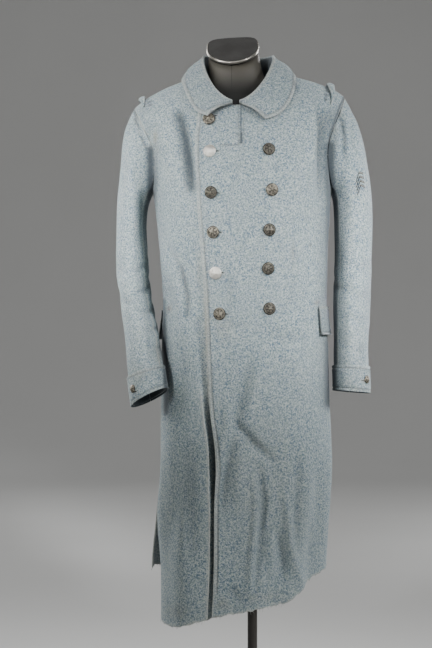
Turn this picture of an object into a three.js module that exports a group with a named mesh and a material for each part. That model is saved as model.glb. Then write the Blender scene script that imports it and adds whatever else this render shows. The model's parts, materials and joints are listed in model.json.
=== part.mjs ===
// A double-breasted wool greatcoat on a tailor's dress form, standing on a round base plate.
// Units are millimetres and +Z is up. The coat's front faces -Y and the wearer's left is +X.
// The origin is on the floor under the middle of the pole.
import * as THREE from "three";

const { clamp, degToRad, lerp, smoothstep } = THREE.MathUtils;

// Cloth and seams
const CLOTH = 2.4; // one layer of milled greatcoat wool
const COLLAR_CLOTH = 3.2; // two layers with canvas between
const SEAM = 0.2; // each edge stops this short of its seam line
const LAYER_GAP = 1.8; // air between two layers that lie on each other

// Heights of the coat's main levels
const HEM = 300; // lowest point of the hem
const HANG = 760; // below this the hem's own line pulls the rings down
const UNDERARM = 1165;
const SHOULDER = 1350; // the ring through both shoulder points
const NECK = 1410; // the ring that the collar is sewn to

// Armholes and sleeves
const ARMHOLE_TURN = 25; // half the armhole's depth, as degrees round the chest
const ARM_STEPS = 20; // columns round a sleeve, and twice the rows along an armhole
const SLEEVE_ROWS = 15;
const CUFF_HEIGHT = 53;
const FRONT_SEAM_STEP = 8; // the two sleeve seams, as columns from the top of the sleeve
const BACK_SEAM_STEP = -5;

// Dress form and stand
const FORM_BOTTOM = 790;
const CAP = {
  x: -40.5,
  y: -9,
  z: 1465,
  side: 54,
  front: 60,
  back: 46,
  backSquare: 4,
  slant: 37,
  lean: 4,
  thick: 8,
  bevel: 2,
};
const POLE = { radius: 10, sides: 20 };
const BASE = { radius: 190, thick: 10, hub: 24, hubHeight: 46, sides: 40 };

// Buttons
const BUTTON = { radius: 12.5, dome: 5.2, rim: 1.4, shank: 4.2, stand: 2.6 };
const CUFF_BUTTON = { radius: 8, dome: 3.6, rim: 1.1, shank: 3, stand: 2.2 };

// A table with named columns. It is read between its rows along a smooth curve that never overshoots them.
function table(names, rows) {
  const at = rows.map((row) => row[0]);
  const rise = (k, i) => (rows[i + 1][k] - rows[i][k]) / (at[i + 1] - at[i]);
  const slope = (k, i) => {
    if (i === 0) return rise(k, 0);
    if (i === rows.length - 1) return rise(k, i - 1);
    const before = rise(k, i - 1);
    const after = rise(k, i);
    return before * after <= 0 ? 0 : (2 * before * after) / (before + after);
  };
  return (x) => {
    const found = at.findLastIndex((value) => value <= x);
    const i = clamp(found, 0, rows.length - 2);
    const h = at[i + 1] - at[i];
    const t = clamp((x - at[i]) / h, 0, 1);
    const s = 1 - t;
    const read = (k) =>
      rows[i][k] * s * s * (1 + 2 * t) +
      rows[i + 1][k] * t * t * (3 - 2 * t) +
      h * s * t * (slope(k, i) * s - slope(k, i + 1) * t);
    return Object.fromEntries(names.map((name, k) => [name, read(k)]));
  };
}

// The coat's rings. Each passes through its side, front and back reach, at the heights in the last columns.
const ring = table(
  ["level", "right", "left", "front", "back", "square", "zFront", "zRight", "zLeft", "zBack"],
  [
    [300, -206, 143, -176, 158, 2.2, 300, 300, 300, 300],
    [410, -205, 146, -172, 155, 2.2, 410, 410, 410, 410],
    [530, -194, 154, -165, 148, 2.3, 530, 530, 530, 530],
    [620, -187, 158, -159, 142, 2.4, 620, 620, 620, 620],
    [745, -189, 157, -153, 136, 2.4, 745, 745, 745, 745],
    [865, -186, 155, -149, 130, 2.4, 865, 865, 865, 865],
    [930, -181, 152, -145, 124, 2.4, 930, 930, 930, 930],
    [1010, -186, 153, -147, 121, 2.5, 1010, 1010, 1010, 1010],
    [1080, -192, 156, -151, 123, 2.5, 1080, 1080, 1080, 1080],
    [1165, -203, 161, -152, 126, 2.5, 1165, 1165, 1165, 1165],
    [1255, -214, 164, -143, 125, 2.5, 1236, 1250, 1254, 1252],
    [1350, -241, 188, -123, 112, 2.4, 1299, 1341, 1364, 1334],
    [1382, -174, 116, -112, 94, 2.2, 1324, 1384, 1399, 1372],
    [1410, -109, 42, -101, 74, 2.05, 1337, 1408, 1415, 1402],
  ],
);

// Where the hem hangs, by degrees round the coat. The fronts hang lower than the back.
const hemLeftFront = table(
  ["turn", "z"],
  [
    [-40, 324],
    [-15, 326],
    [5, 340],
    [27, 350],
    [38, 366],
    [52, 388],
    [66, 400],
    [90, 414],
  ],
);
const hemRightFront = table(
  ["turn", "z"],
  [
    [-90, 322],
    [-78, 306],
    [-60, 299],
    [-40, 301],
    [-26, 316],
    [-12, 328],
    [12, 352],
    [40, 366],
  ],
);
const hemBack = table(
  ["turn", "z"],
  [
    [80, 413],
    [125, 402],
    [180, 411],
    [235, 401],
    [280, 406],
  ],
);

// Heights of the hem at the side seams and at the two front edges
const SEAM_HEM = { leftFront: 410, leftBack: 413, rightFront: 308, rightBack: 403 };
const EDGE_HEM = { over: 326, under: 318 };

// The left front's free edge, which lies on top, and the right front's, which is hidden under it.
const frontEdge = table(
  ["z", "over", "under"],
  [
    [300, -85, 30],
    [420, -80, 34],
    [540, -80, 36],
    [625, -74, 40],
    [740, -89, 44],
    [930, -97, 50],
    [1030, -104, 54],
    [1140, -113, 54],
    [1257, -118, 50],
    [1330, -115, 40],
    [1410, -104, 0],
  ],
);

// How far the right front falls in behind the left front's edge.
const frontGape = table(
  ["z", "depth"],
  [
    [300, 34],
    [420, 30],
    [545, 12],
    [630, 34],
    [700, 22],
    [770, 5],
    [800, 0],
  ],
);

// Large folds: ridges are above zero and troughs below. Turn is in degrees round the coat, the rest in mm.
const FOLD_COLUMNS = ["turnTop", "turnLow", "top", "low", "width", "depth"];
const FOLDS = [
  [-64, -60, 1120, 905, 15, -11],
  [-50, -47, 1010, 860, 20, 5],
  [-76, -72, 1080, 760, 22, 5],
  [-33, -30, 1340, 1130, 26, -7],
  [44, 40, 1330, 1150, 18, 7],
  [56, 52, 1320, 1120, 20, -9],
  [22, -3, 700, 430, 22, -8],
  [2, 12, 640, 340, 24, 9],
  [18, 22, 620, 330, 22, -10],
  [36, 38, 660, 330, 26, 8],
  [52, 55, 640, 380, 24, -9],
  [74, 76, 760, 390, 30, 7],
  [-52, -56, 740, 300, 28, -7],
  [-72, -70, 700, 300, 26, 7],
  [-38, -38, 620, 300, 20, 6],
  [108, 112, 860, 400, 30, -10],
  [128, 134, 900, 400, 30, 10],
  [150, 154, 880, 400, 26, -12],
  [170, 171, 900, 400, 24, 8],
  [192, 190, 900, 400, 24, 9],
  [212, 208, 880, 400, 26, -12],
  [234, 230, 900, 400, 30, 11],
  [256, 252, 860, 400, 28, -9],
  [140, 142, 1320, 1080, 30, -6],
  [222, 220, 1320, 1080, 30, -6],
].map((row) => Object.fromEntries(FOLD_COLUMNS.map((name, k) => [name, row[k]])));
const FOLD_RADIUS = 170; // mean radius that turns a fold's degrees into millimetres
const FOLD_FADE = 0.3; // share of a fold's length over which it rises and dies away
const HEM_FOLD = 420; // a fold that ends below this runs out through the hem

// A point of a flattened ring: the turn is zero at the front and grows towards the wearer's left.
function ringPoint(r, turn) {
  const s = Math.sin(degToRad(turn));
  const c = Math.cos(degToRad(turn));
  const power = 2 / r.square;
  const middle = (r.left + r.right) / 2;
  const reach = (r.left - r.right) / 2;
  const zSide = s > 0 ? r.zLeft : r.zRight;
  const zEnd = c > 0 ? r.zFront : r.zBack;
  return new THREE.Vector3(
    middle + reach * Math.sign(s) * Math.abs(s) ** power,
    (c > 0 ? r.front : r.back) * Math.abs(c) ** power,
    zSide + (zEnd - zSide) * c * c,
  );
}

// The outward normal of a surface of two numbers, from small steps of each.
function normalOf(surface, u, v, du, dv) {
  const alongU = surface(u + du, v).sub(surface(u - du, v));
  const alongV = surface(u, v + dv).sub(surface(u, v - dv));
  return alongU.cross(alongV).normalize();
}

const smoothCoat = (turn, level) => ringPoint(ring(level), turn);

function foldHeight(turn, z) {
  return FOLDS.reduce((sum, fold) => {
    const t = (fold.top - z) / (fold.top - fold.low);
    if (t < 0) return sum;
    const across = Math.abs(turn - lerp(fold.turnTop, fold.turnLow, Math.min(t, 1)));
    const away = degToRad(Math.min(across, 360 - across)) * FOLD_RADIUS;
    if (away > 3 * fold.width) return sum;
    const fadeLow = fold.low < HEM_FOLD ? 1 : smoothstep(1 - t, 0, FOLD_FADE);
    return sum + fold.depth * Math.exp(-((away / fold.width) ** 2)) * smoothstep(t, 0, FOLD_FADE) * fadeLow;
  }, 0);
}

// The coat's outer face, folds and all, moved out or in by the last number.
function coat(turn, level, out = 0) {
  const normal = normalOf(smoothCoat, turn, level, 0.5, 2);
  const height = ringPoint(ring(level), turn).z;
  return smoothCoat(turn, level).addScaledVector(normal, foldHeight(turn, height) + out);
}

// Below HANG the rows are pulled to the hem's own line.
function hung(level, hemZ) {
  return level < HANG ? HANG - ((HANG - level) * (HANG - hemZ)) / (HANG - HEM) : level;
}

// The turn at which a ring of the coat reaches a given x, on its front half.
function turnAt(x, level) {
  const r = ring(level);
  const share = (x - (r.left + r.right) / 2) / ((r.left - r.right) / 2);
  const s = Math.abs(clamp(share, -1, 1)) ** (r.square / 2);
  return (Math.sign(share) * Math.asin(s) * 180) / Math.PI;
}

// The turn and level on the coat's front that lie at a given x and z.
function findOnFront(x, z) {
  let low = HEM;
  let high = NECK;
  for (let i = 0; i < 40; i += 1) {
    const level = (low + high) / 2;
    if (smoothCoat(turnAt(x, level), level).z < z) low = level;
    else high = level;
  }
  return { turn: turnAt(x, low), level: low };
}

// A wall of cloth from a grid of outer points. The inner face lies one thickness in. All edges are closed.
function wall(surface, columns, rows, thick, seam = SEAM) {
  const us = Array.isArray(columns) ? columns : steps(columns);
  const vs = Array.isArray(rows) ? rows : steps(rows);
  const small = 1e-3;
  const outer = vs.map((v) => us.map((u) => surface(u, v)));
  const normals = vs.map((v) => us.map((u) => normalOf(surface, u, v, small, small)));
  pullInEdges(outer, seam);
  const inset = (p, normal) => p.clone().addScaledVector(normal, -thick);
  const inner = outer.map((line, j) => line.map((p, i) => inset(p, normals[j][i])));
  const w = us.length;
  const h = vs.length;
  const index = [];
  const quad = (a, b, c, d) => index.push(a, b, c, a, c, d);
  const out = (i, j) => j * w + i;
  const into = (i, j) => w * h + j * w + i;
  for (let j = 0; j + 1 < h; j += 1)
    for (let i = 0; i + 1 < w; i += 1) {
      quad(out(i, j), out(i + 1, j), out(i + 1, j + 1), out(i, j + 1));
      quad(into(i, j), into(i, j + 1), into(i + 1, j + 1), into(i + 1, j));
    }
  for (let i = 0; i + 1 < w; i += 1) {
    quad(out(i, 0), into(i, 0), into(i + 1, 0), out(i + 1, 0));
    quad(out(i, h - 1), out(i + 1, h - 1), into(i + 1, h - 1), into(i, h - 1));
  }
  for (let j = 0; j + 1 < h; j += 1) {
    quad(out(0, j), out(0, j + 1), into(0, j + 1), into(0, j));
    quad(out(w - 1, j), into(w - 1, j), into(w - 1, j + 1), out(w - 1, j + 1));
  }
  return geometryFrom([...outer.flat(), ...inner.flat()], index);
}

const steps = (n) => Array.from({ length: n + 1 }, (_, i) => i / n);

function pullInEdges(grid, seam) {
  const w = grid[0].length;
  const h = grid.length;
  const pull = (p, towards) => p.add(towards.clone().sub(p).setLength(seam));
  for (const line of grid) {
    pull(line[0], line[1]);
    pull(line[w - 1], line[w - 2]);
  }
  for (let i = 0; i < w; i += 1) {
    pull(grid[0][i], grid[1][i]);
    pull(grid[h - 1][i], grid[h - 2][i]);
  }
}

function geometryFrom(points, index) {
  const geometry = new THREE.BufferGeometry().setFromPoints(points);
  geometry.setIndex(index);
  geometry.computeVertexNormals();
  return geometry;
}

// A closed solid through rings of points, each ring given by its row number and an angle in degrees.
function loft(ringAt, rows, sides) {
  const points = [];
  const index = [];
  for (let j = 0; j < rows; j += 1)
    for (let i = 0; i < sides; i += 1) points.push(ringAt(j, (360 * i) / sides));
  for (let j = 0; j + 1 < rows; j += 1)
    for (let i = 0; i < sides; i += 1) {
      const a = j * sides + i;
      const b = j * sides + ((i + 1) % sides);
      index.push(a, b, b + sides, a, b + sides, a + sides);
    }
  for (const end of [0, rows - 1]) {
    const middle = new THREE.Vector3();
    for (let i = 0; i < sides; i += 1) middle.addScaledVector(points[end * sides + i], 1 / sides);
    const centre = points.push(middle) - 1;
    for (let i = 0; i < sides; i += 1) {
      const a = end * sides + i;
      const b = end * sides + ((i + 1) % sides);
      index.push(...(end === 0 ? [centre, b, a] : [centre, a, b]));
    }
  }
  return geometryFrom(points, index);
}

// Levels of the coat's rows: even up to the underarm, crowded at both ends of the armhole, then even again.
const SKIRT_ROWS = 17;
const YOKE_ROWS = 4;
const armholeLevel = (angle) => lerp(SHOULDER, UNDERARM, (1 - Math.cos(degToRad(angle))) / 2);
const LEVELS = [
  ...steps(SKIRT_ROWS).map((t) => lerp(HEM, UNDERARM, t)),
  ...steps(ARM_STEPS / 2)
    .slice(1)
    .map((t) => armholeLevel(180 - 180 * t)),
  ...steps(YOKE_ROWS)
    .slice(1)
    .map((t) => lerp(SHOULDER, NECK, t)),
];

// A panel ends at the armhole above the underarm, and at the side seam below it, which leans to the front.
const SIDE_LEAN = 9;
function armholeTurn(level) {
  const t = clamp((level - UNDERARM) / (SHOULDER - UNDERARM), 0, 1);
  return ARMHOLE_TURN * Math.sqrt(Math.max(0, 1 - (2 * t - 1) ** 2));
}
const seamTurn = (z) => 90 - SIDE_LEAN * smoothstep(UNDERARM - z, 60, 560);

// The armhole's curve is taken up by the columns next to it. The others run straight up the panel.
const ARMHOLE_SHARE = 4;
const besideArmhole = (share, level) => armholeTurn(level) * share ** ARMHOLE_SHARE;

// Walls of the body take a row as a level, and a column as a share of the panel's width.
function leftFront(u, level) {
  const edge = turnAt(frontEdge(hung(level, EDGE_HEM.over)).over, level);
  const turn = lerp(edge, seamTurn(hung(level, SEAM_HEM.leftFront)), u) - besideArmhole(u, level);
  return coat(turn, hung(level, hemLeftFront(turn).z));
}

// The right front dips under the left one between two of its columns, and goes on behind it.
const DIP = { start: 5, end: 1, column: 7, columns: 15 };
const TUCK = { depth: 20, top: 520, fade: 100 }; // where the right front hangs inside the back's edge

function rightFront(u, level) {
  const z = hung(level, EDGE_HEM.under);
  const edge = turnAt(frontEdge(z).over, level);
  const hidden = turnAt(frontEdge(z).under, level);
  const seam = -seamTurn(hung(level, SEAM_HEM.rightFront));
  const first = DIP.column / DIP.columns;
  const second = (DIP.column + 1) / DIP.columns;
  const start = edge - DIP.start;
  const end = edge - DIP.end;
  let turn = lerp(seam, start, u / first) + besideArmhole(clamp(1 - u / first, 0, 1), level);
  if (u > first) turn = lerp(start, end, (u - first) / (second - first));
  if (u > second) turn = lerp(end, hidden, (u - second) / (1 - second));
  const under = (CLOTH + LAYER_GAP + frontGape(z).depth) * clamp((u - first) / (second - first), 0, 1);
  const tuck = TUCK.depth * smoothstep(TUCK.top - z, 0, TUCK.fade) * smoothstep(-turn, 52, 76);
  return coat(turn, hung(level, hemRightFront(turn).z), -under - tuck);
}

const backTurn = (share, level, seamHem) =>
  lerp(seamTurn(hung(level, seamHem)), 180, share) + besideArmhole(1 - share, level);

function leftBack(u, level) {
  const turn = backTurn(u, level, SEAM_HEM.leftBack);
  return coat(turn, hung(level, hemBack(turn).z));
}

function rightBack(u, level) {
  const turn = 360 - backTurn(1 - u, level, SEAM_HEM.rightBack);
  return coat(turn, hung(level, hemBack(turn).z));
}

// Sleeves. A ring runs from its outer point to its inner point. Deep is half its size from front to back, and
// lift raises its front edge. Past the last ring comes the head, which ends at the armhole.
const SLEEVE_COLUMNS = ["along", "outX", "outZ", "inX", "inZ", "midY", "deep", "lift"];
const SLEEVES = {
  left: {
    side: 1,
    length: 548,
    rings: table(SLEEVE_COLUMNS, [
      [0, 236.5, 759, 166, 765, -28, 56, 3],
      [55, 236, 815, 165, 818, -24, 58, 3],
      [100, 236, 861, 165, 862, -18, 61, 2],
      [175, 242, 935, 165, 936, -8, 66, 0],
      [275, 245, 1035, 168, 1033, 2, 71, 0],
      [335, 247, 1108, 168, 1075, 4, 74, 0],
      [385, 244, 1172, 168, 1106, 4, 76, 0],
      [430, 236, 1228, 167, 1130, 3, 78, 0],
      [475, 225, 1284, 166, 1146, 2, 79, 0],
      [520, 208, 1334, 164, 1158, 1, 77, 0],
    ]),
  },
  right: {
    side: -1,
    length: 552,
    rings: table(SLEEVE_COLUMNS, [
      [0, -241, 736, -172, 771, -116, 51, 9],
      [60, -250, 800, -180, 822, -101, 53, 8],
      [115, -257, 860, -187, 868, -76, 58, 5],
      [165, -264, 912, -196, 914, -52, 63, 3],
      [205, -271, 952, -204, 953, -34, 66, 1],
      [235, -277, 982, -208, 980, -22, 68, 0],
      [290, -279, 1040, -213, 1035, -7, 72, 0],
      [345, -279, 1098, -216, 1070, 3, 75, 0],
      [395, -277, 1152, -217, 1098, 3, 77, 0],
      [435, -271, 1208, -216, 1122, 3, 78, 0],
      [480, -267, 1265, -213, 1140, 2, 79, 0],
      [526, -258, 1314, -209, 1153, 1, 77, 0],
    ]),
  },
};
const SLEEVE_SQUARE = 2.25;
const HEAD = 26; // length of the sleeve head between its last ring and the armhole
const HEAD_CLEAR = 0.9; // the sleeve starts this far outside the coat's face

// Folds of the sleeves: the angle is zero at the top of the sleeve, and grows towards its front.
const SLEEVE_FOLD_COLUMNS = ["angle", "from", "to", "width", "depth"];
const SLEEVE_FOLDS = {
  left: [
    [150, 200, 330, 14, -5],
    [30, 120, 260, 14, -4],
    [285, 150, 420, 14, -6],
    [330, 240, 460, 14, 4],
  ],
  right: [
    [55, 380, 530, 12, -5],
    [90, 120, 420, 16, 4],
    [20, 190, 270, 12, -4],
    [150, 140, 300, 14, -5],
    [285, 150, 420, 14, -6],
    [320, 240, 460, 14, 4],
  ],
};

// A point of the armhole's edge: the angle is zero at the shoulder and grows towards the front.
function armhole(side, angle, out) {
  const turn = side * (90 - ARMHOLE_TURN * Math.sin(degToRad(angle)));
  return coat(turn, armholeLevel(angle), out);
}

function sleeveFold(name, angle, along) {
  return SLEEVE_FOLDS[name].reduce((sum, [at, from, to, width, depth]) => {
    const t = (along - from) / (to - from);
    if (t <= 0 || t >= 1) return sum;
    const gap = Math.abs(angle - at) % 360;
    const away = Math.min(gap, 360 - gap);
    return sum + depth * Math.exp(-((away / width) ** 2)) * Math.sin(Math.PI * t);
  }, 0);
}

function sleeveRing(name, angle, along) {
  const r = SLEEVES[name].rings(along);
  const c = Math.cos(degToRad(angle));
  const s = Math.sin(degToRad(angle));
  const power = 2 / SLEEVE_SQUARE;
  const across = (Math.sign(c) * Math.abs(c) ** power) / 2;
  const deep = Math.sign(s) * Math.abs(s) ** power;
  return new THREE.Vector3(
    (r.outX + r.inX) / 2 + (r.outX - r.inX) * across,
    r.midY - r.deep * deep,
    (r.outZ + r.inZ) / 2 + (r.outZ - r.inZ) * across + r.lift * deep,
  );
}

// The sleeve without folds. Its last stretch, the head, curves from the table's last ring into the armhole.
function smoothSleeve(name, angle, along) {
  const { side, length } = SLEEVES[name];
  const start = length - HEAD;
  if (along <= start) return sleeveRing(name, angle, along);
  const t = (along - start) / HEAD;
  const from = sleeveRing(name, angle, start);
  const to = armhole(side, angle, HEAD_CLEAR);
  const slope = from.clone().sub(sleeveRing(name, angle, start - HEAD));
  const bend = t * (1 - t) ** 2;
  return from.clone().lerp(to, t * t * (3 - 2 * t) * 0.5 + t * 0.5).addScaledVector(slope, bend * 0.4);
}

function sleeve(name, angle, along, out = 0) {
  const at = (a, b) => smoothSleeve(name, a, b);
  const normal = normalOf(at, angle, along, -SLEEVES[name].side, 1);
  return at(angle, along).addScaledVector(normal, sleeveFold(name, angle, along) + out);
}

// A wall round part of a sleeve, from one angle to another and from one length to another, moved out.
function sleeveWall(name, fromStep, toStep, from, to, rows, out, thick, seam = SEAM) {
  const { side } = SLEEVES[name];
  const count = Math.round(Math.abs(toStep - fromStep));
  const step = 360 / ARM_STEPS;
  const surface = (u, v) => {
    const angle = side > 0 ? lerp(toStep, fromStep, u) : lerp(fromStep, toStep, u);
    return sleeve(name, angle * step, lerp(from, to, v), out);
  };
  return wall(surface, count, rows, thick, seam);
}

// Collar. One piece of cloth rises from the neck seam as a stand, rolls over, and lies on the coat as a
// fall. The turn is as on the coat, and the collar leaves out the few degrees at the front.
const COLLAR = {
  x: -29,
  nose: 6,
  y: -16,
  side: 74,
  deep: 92,
  front: 1341,
  rise: 108,
  riseTurn: 108,
  roll: 4.8,
  belly: 7,
  foot: { in: 1.2, up: 3.6 },
};

// The fall's free edge, as a turn and level on the coat and a height above its face.
const COLLAR_EDGE_COLUMNS = ["away", "turn", "level", "out"];
const collarEdge = {
  right: table(COLLAR_EDGE_COLUMNS, [
    [5, 14, 1357, 14.5],
    [10, 17, 1360, 12],
    [16, 21, 1364, 7.5],
    [24, 27, 1369, 6],
    [34, 35, 1376, 5.5],
    [46, 46, 1384, 5.5],
    [60, 60, 1390, 5.5],
    [76, 76, 1394, 5.5],
    [92, 92, 1395, 5.5],
    [135, 135, 1393, 5.5],
    [180, 180, 1389, 5.5],
  ]),
  left: table(COLLAR_EDGE_COLUMNS, [
    [5, 9.5, 1353, 8],
    [10, 13, 1355, 7],
    [16, 18, 1360, 6],
    [24, 25, 1366, 5.5],
    [34, 34, 1373, 5.5],
    [46, 46, 1380, 5.5],
    [60, 60, 1388, 5.5],
    [76, 76, 1392, 5.5],
    [92, 92, 1394, 5.5],
    [135, 135, 1393, 5.5],
    [180, 180, 1389, 5.5],
  ]),
};

// Points of the collar's face in one column, from the neck seam inside, over the roll, to the free edge.
const COLLAR_PATH = ["foot", "stand", "rollIn", "rollTop", "rollOut", "belly", "edge"];
const COLLAR_STEPS = [0, 0.5, 1, 1.5, 2, 2.5, 3, 3.5, 4, 4.4, 5, 5.5, 6];
const COLLAR_ROWS = COLLAR_STEPS.map((v) => v / (COLLAR_PATH.length - 1));

function collarPath(turn) {
  const away = Math.abs(turn);
  const angle = degToRad(turn);
  const fold = new THREE.Vector3(
    COLLAR.x - COLLAR.nose * Math.cos(angle) + COLLAR.side * Math.sin(angle),
    COLLAR.y - COLLAR.deep * Math.cos(angle),
    COLLAR.front + COLLAR.rise * smoothstep(away, 0, COLLAR.riseTurn),
  );
  const row = collarEdge[turn > 0 ? "left" : "right"](away);
  const edge = coat(Math.sign(turn) * row.turn, row.level, row.out);
  const foot = coat(turn, NECK, -COLLAR.foot.in);
  foot.z += COLLAR.foot.up;
  const outwards = new THREE.Vector3(Math.sin(angle), -Math.cos(angle), 0);
  const up = new THREE.Vector3(0, 0, 1);
  const rollIn = fold.clone().addScaledVector(outwards, -COLLAR.roll);
  const rollOut = fold.clone().addScaledVector(outwards, COLLAR.roll);
  rollOut.addScaledVector(up, -COLLAR.roll * 0.3);
  const rollTop = fold.clone().addScaledVector(up, COLLAR.roll);
  const stand = foot.clone().lerp(rollIn, 0.5);
  const swell = outwards.clone().multiplyScalar(COLLAR.belly * 0.6).addScaledVector(up, COLLAR.belly * 0.8);
  const belly = rollOut.clone().lerp(edge, 0.5).add(swell);
  return [foot, stand, rollIn, rollTop, rollOut, belly, edge];
}

// Columns of the collar in degrees, close together at its two front ends
const HALF_COLLAR = [5.5, 9, 14, 20, 28, 38, 50, 64, 80, 97, 114, 131, 148, 164];
const COLLAR_COLUMNS = [...HALF_COLLAR, 180, ...HALF_COLLAR.map((turn) => 360 - turn).reverse()];

function collar(ahead, v) {
  const turn = ahead > 180 ? 360 - ahead : -ahead;
  return new THREE.CatmullRomCurve3(collarPath(turn)).getPoint(clamp(v, 0, 1));
}

const coatMaterial = (name, colour, roughness, metalness = 0) =>
  new THREE.MeshStandardMaterial({ name, color: new THREE.Color(...colour), roughness, metalness });
const MATERIALS = {
  wool: coatMaterial("blue_wool", [0.33, 0.4, 0.44], 0.95),
  bronze: coatMaterial("aged_bronze", [0.2, 0.16, 0.1], 0.45, 0.85),
  white: coatMaterial("white_metal", [0.72, 0.7, 0.64], 0.4, 0.9),
  braid: coatMaterial("braid", [0.16, 0.14, 0.12], 0.9),
  form: coatMaterial("form_graphite", [0.08, 0.075, 0.07], 0.4),
  stand: coatMaterial("stand_paint", [0.05, 0.045, 0.04], 0.5),
};

const group = new THREE.Group();

function add(name, geometry, material) {
  const mesh = new THREE.Mesh(geometry, MATERIALS[material].clone());
  mesh.name = name;
  group.add(mesh);
  return mesh;
}

// Coat body
const PANEL_COLUMNS = { leftFront: 19, back: 12 };
add("front_left", wall(leftFront, PANEL_COLUMNS.leftFront, LEVELS, CLOTH), "wool");
add("front_right", wall(rightFront, DIP.columns, LEVELS, CLOTH), "wool");
add("back_left", wall(leftBack, PANEL_COLUMNS.back, LEVELS, CLOTH), "wool");
add("back_right", wall(rightBack, PANEL_COLUMNS.back, LEVELS, CLOTH), "wool");
add("collar", wall(collar, COLLAR_COLUMNS, COLLAR_ROWS, COLLAR_CLOTH, 0), "wool");

// Sleeves of two pieces each, with a plain cuff round the end
const CUFF_OUT = CLOTH + 1.2;
const TURN_UP = 3; // the sleeve ends this far inside its cuff
for (const name of Object.keys(SLEEVES)) {
  const { length } = SLEEVES[name];
  const lower = ARM_STEPS + BACK_SEAM_STEP;
  const upper = sleeveWall(name, BACK_SEAM_STEP, FRONT_SEAM_STEP, TURN_UP, length, SLEEVE_ROWS, 0, CLOTH);
  const under = sleeveWall(name, FRONT_SEAM_STEP, lower, TURN_UP, length, SLEEVE_ROWS, 0, CLOTH);
  const cuff = sleeveWall(name, BACK_SEAM_STEP, lower, 0, CUFF_HEIGHT, 3, CUFF_OUT, CLOTH);
  add(`upper_sleeve_${name}`, upper, "wool");
  add(`under_sleeve_${name}`, under, "wool");
  add(`cuff_${name}`, cuff, "wool");
}

// Shoulder rolls: stuffed strips over each shoulder, just inside the armhole, that hold a strap in place
const ROLL = { width: 6.2, height: 8.5, drop: 11, reach: 30, sections: 12, sides: 8 };
const SHOULDER_ROLLS = {
  left: { side: 1, level: 1367, front: 54, back: 124, lift: 1 },
  right: { side: -1, level: 1362.5, front: 63, back: 119, lift: -0.6 },
};
for (const [name, { side, level, front, back, lift }] of Object.entries(SHOULDER_ROLLS)) {
  const section = (j, degrees) => {
    const t = j / ROLL.sections;
    const taper = Math.sqrt(Math.sin(Math.PI * lerp(0.08, 0.92, t)));
    const across = side * ROLL.width * taper * Math.cos(degToRad(degrees));
    const up = ROLL.height * taper * (0.5 + 0.5 * Math.sin(degToRad(degrees)));
    const turn = lerp(front, back, t);
    const fall = ROLL.drop * Math.abs((turn - 90) / ROLL.reach) ** 3;
    return coat(side * turn, level - fall + across * 0.47, lift + up);
  };
  add(`shoulder_roll_${name}`, loft(section, ROLL.sections + 1, ROLL.sides), "wool");
}

// Pocket flaps on the hips, hanging a little away from the cloth
const FLAPS = {
  left: { side: 1, front: 57, back: 104, top: 936, low: 878, stand: 4 },
  right: { side: -1, front: 84, back: 122, top: 928, low: 868, stand: 3 },
};
const FLAP_OUT = CLOTH + 1.6;
const FLAP_GRID = { columns: 8, rows: 4 };
for (const [name, f] of Object.entries(FLAPS)) {
  const flap = (u, v) => {
    const turn = f.side > 0 ? lerp(f.front, f.back, u) : lerp(-f.back, -f.front, u);
    return coat(turn, lerp(f.low, f.top, v), FLAP_OUT + f.stand * Math.max(1 - v, 0) ** 1.5);
  };
  add(`pocket_flap_${name}`, wall(flap, FLAP_GRID.columns, FLAP_GRID.rows, CLOTH, 0), "wool");
}

// Service chevrons of narrow braid on the left upper sleeve
const CHEVRON = { centre: 73, half: 13, drop: 12, width: 4.2, thick: 1, lift: 1.8, columns: 8 };
const CHEVRON_ALONG = [437, 428.5, 420, 411.5];
CHEVRON_ALONG.forEach((along, i) => {
  const chevron = (u, v) => {
    const side = 1 - 2 * u;
    const at = along - CHEVRON.drop * Math.abs(side) + CHEVRON.width * v;
    return sleeve("left", CHEVRON.centre + CHEVRON.half * side, at, CHEVRON.lift);
  };
  add(`sleeve_chevron_${i + 1}`, wall(chevron, CHEVRON.columns, 1, CHEVRON.thick, 0), "braid");
});

// Buttons. The profile runs from the middle of the shank's foot to the top of the dome.
function button(b, sides) {
  const back = b.stand;
  const profile = [
    [0, 0],
    [b.shank * 0.7, 0],
    [b.shank * 0.7, back],
    [b.radius, back],
    [b.radius, back + b.rim],
    [b.radius * 0.75, back + b.rim + b.dome * 0.5],
    [b.radius * 0.4, back + b.rim + b.dome * 0.87],
    [0, back + b.rim + b.dome],
  ];
  const points = profile.map(([r, y]) => new THREE.Vector2(r, y));
  return new THREE.LatheGeometry(points, sides);
}

function sewOn(name, geometry, material, foot, outwards) {
  const mesh = add(name, geometry, material);
  mesh.position.copy(foot).addScaledVector(outwards, BUTTON_AIR);
  mesh.quaternion.setFromUnitVectors(new THREE.Vector3(0, 1, 0), outwards);
}

const BUTTON_AIR = 0.62;
const BUTTON_SIDES = 12;
// Buttons of the two columns, by the x and z of their middles
const FRONT_BUTTONS = [
  ["right", 1, -88.5, 1305, "bronze"],
  ["right", 2, -86.8, 1240.6, "white"],
  ["right", 3, -84.2, 1158.8, "bronze"],
  ["right", 4, -80.1, 1080.7, "bronze"],
  ["right", 5, -75.2, 1000.4, "white"],
  ["right", 6, -67.1, 919.9, "bronze"],
  ["left", 2, 29.3, 1244.1, "bronze"],
  ["left", 3, 35, 1164.1, "bronze"],
  ["left", 4, 29.9, 1085.4, "bronze"],
  ["left", 5, 27.6, 1009.5, "bronze"],
  ["left", 6, 30, 930.3, "bronze"],
];
for (const [column, number, x, z, metal] of FRONT_BUTTONS) {
  const { turn, level } = findOnFront(x, z);
  const outwards = normalOf(coat, turn, level, 2, 8);
  sewOn(`button_${column}_${number}`, button(BUTTON, BUTTON_SIDES), metal, coat(turn, level), outwards);
}
const CUFF_BUTTONS = {
  left: { angle: 54, along: 26 },
  right: { angle: 50, along: 24 },
};
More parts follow.
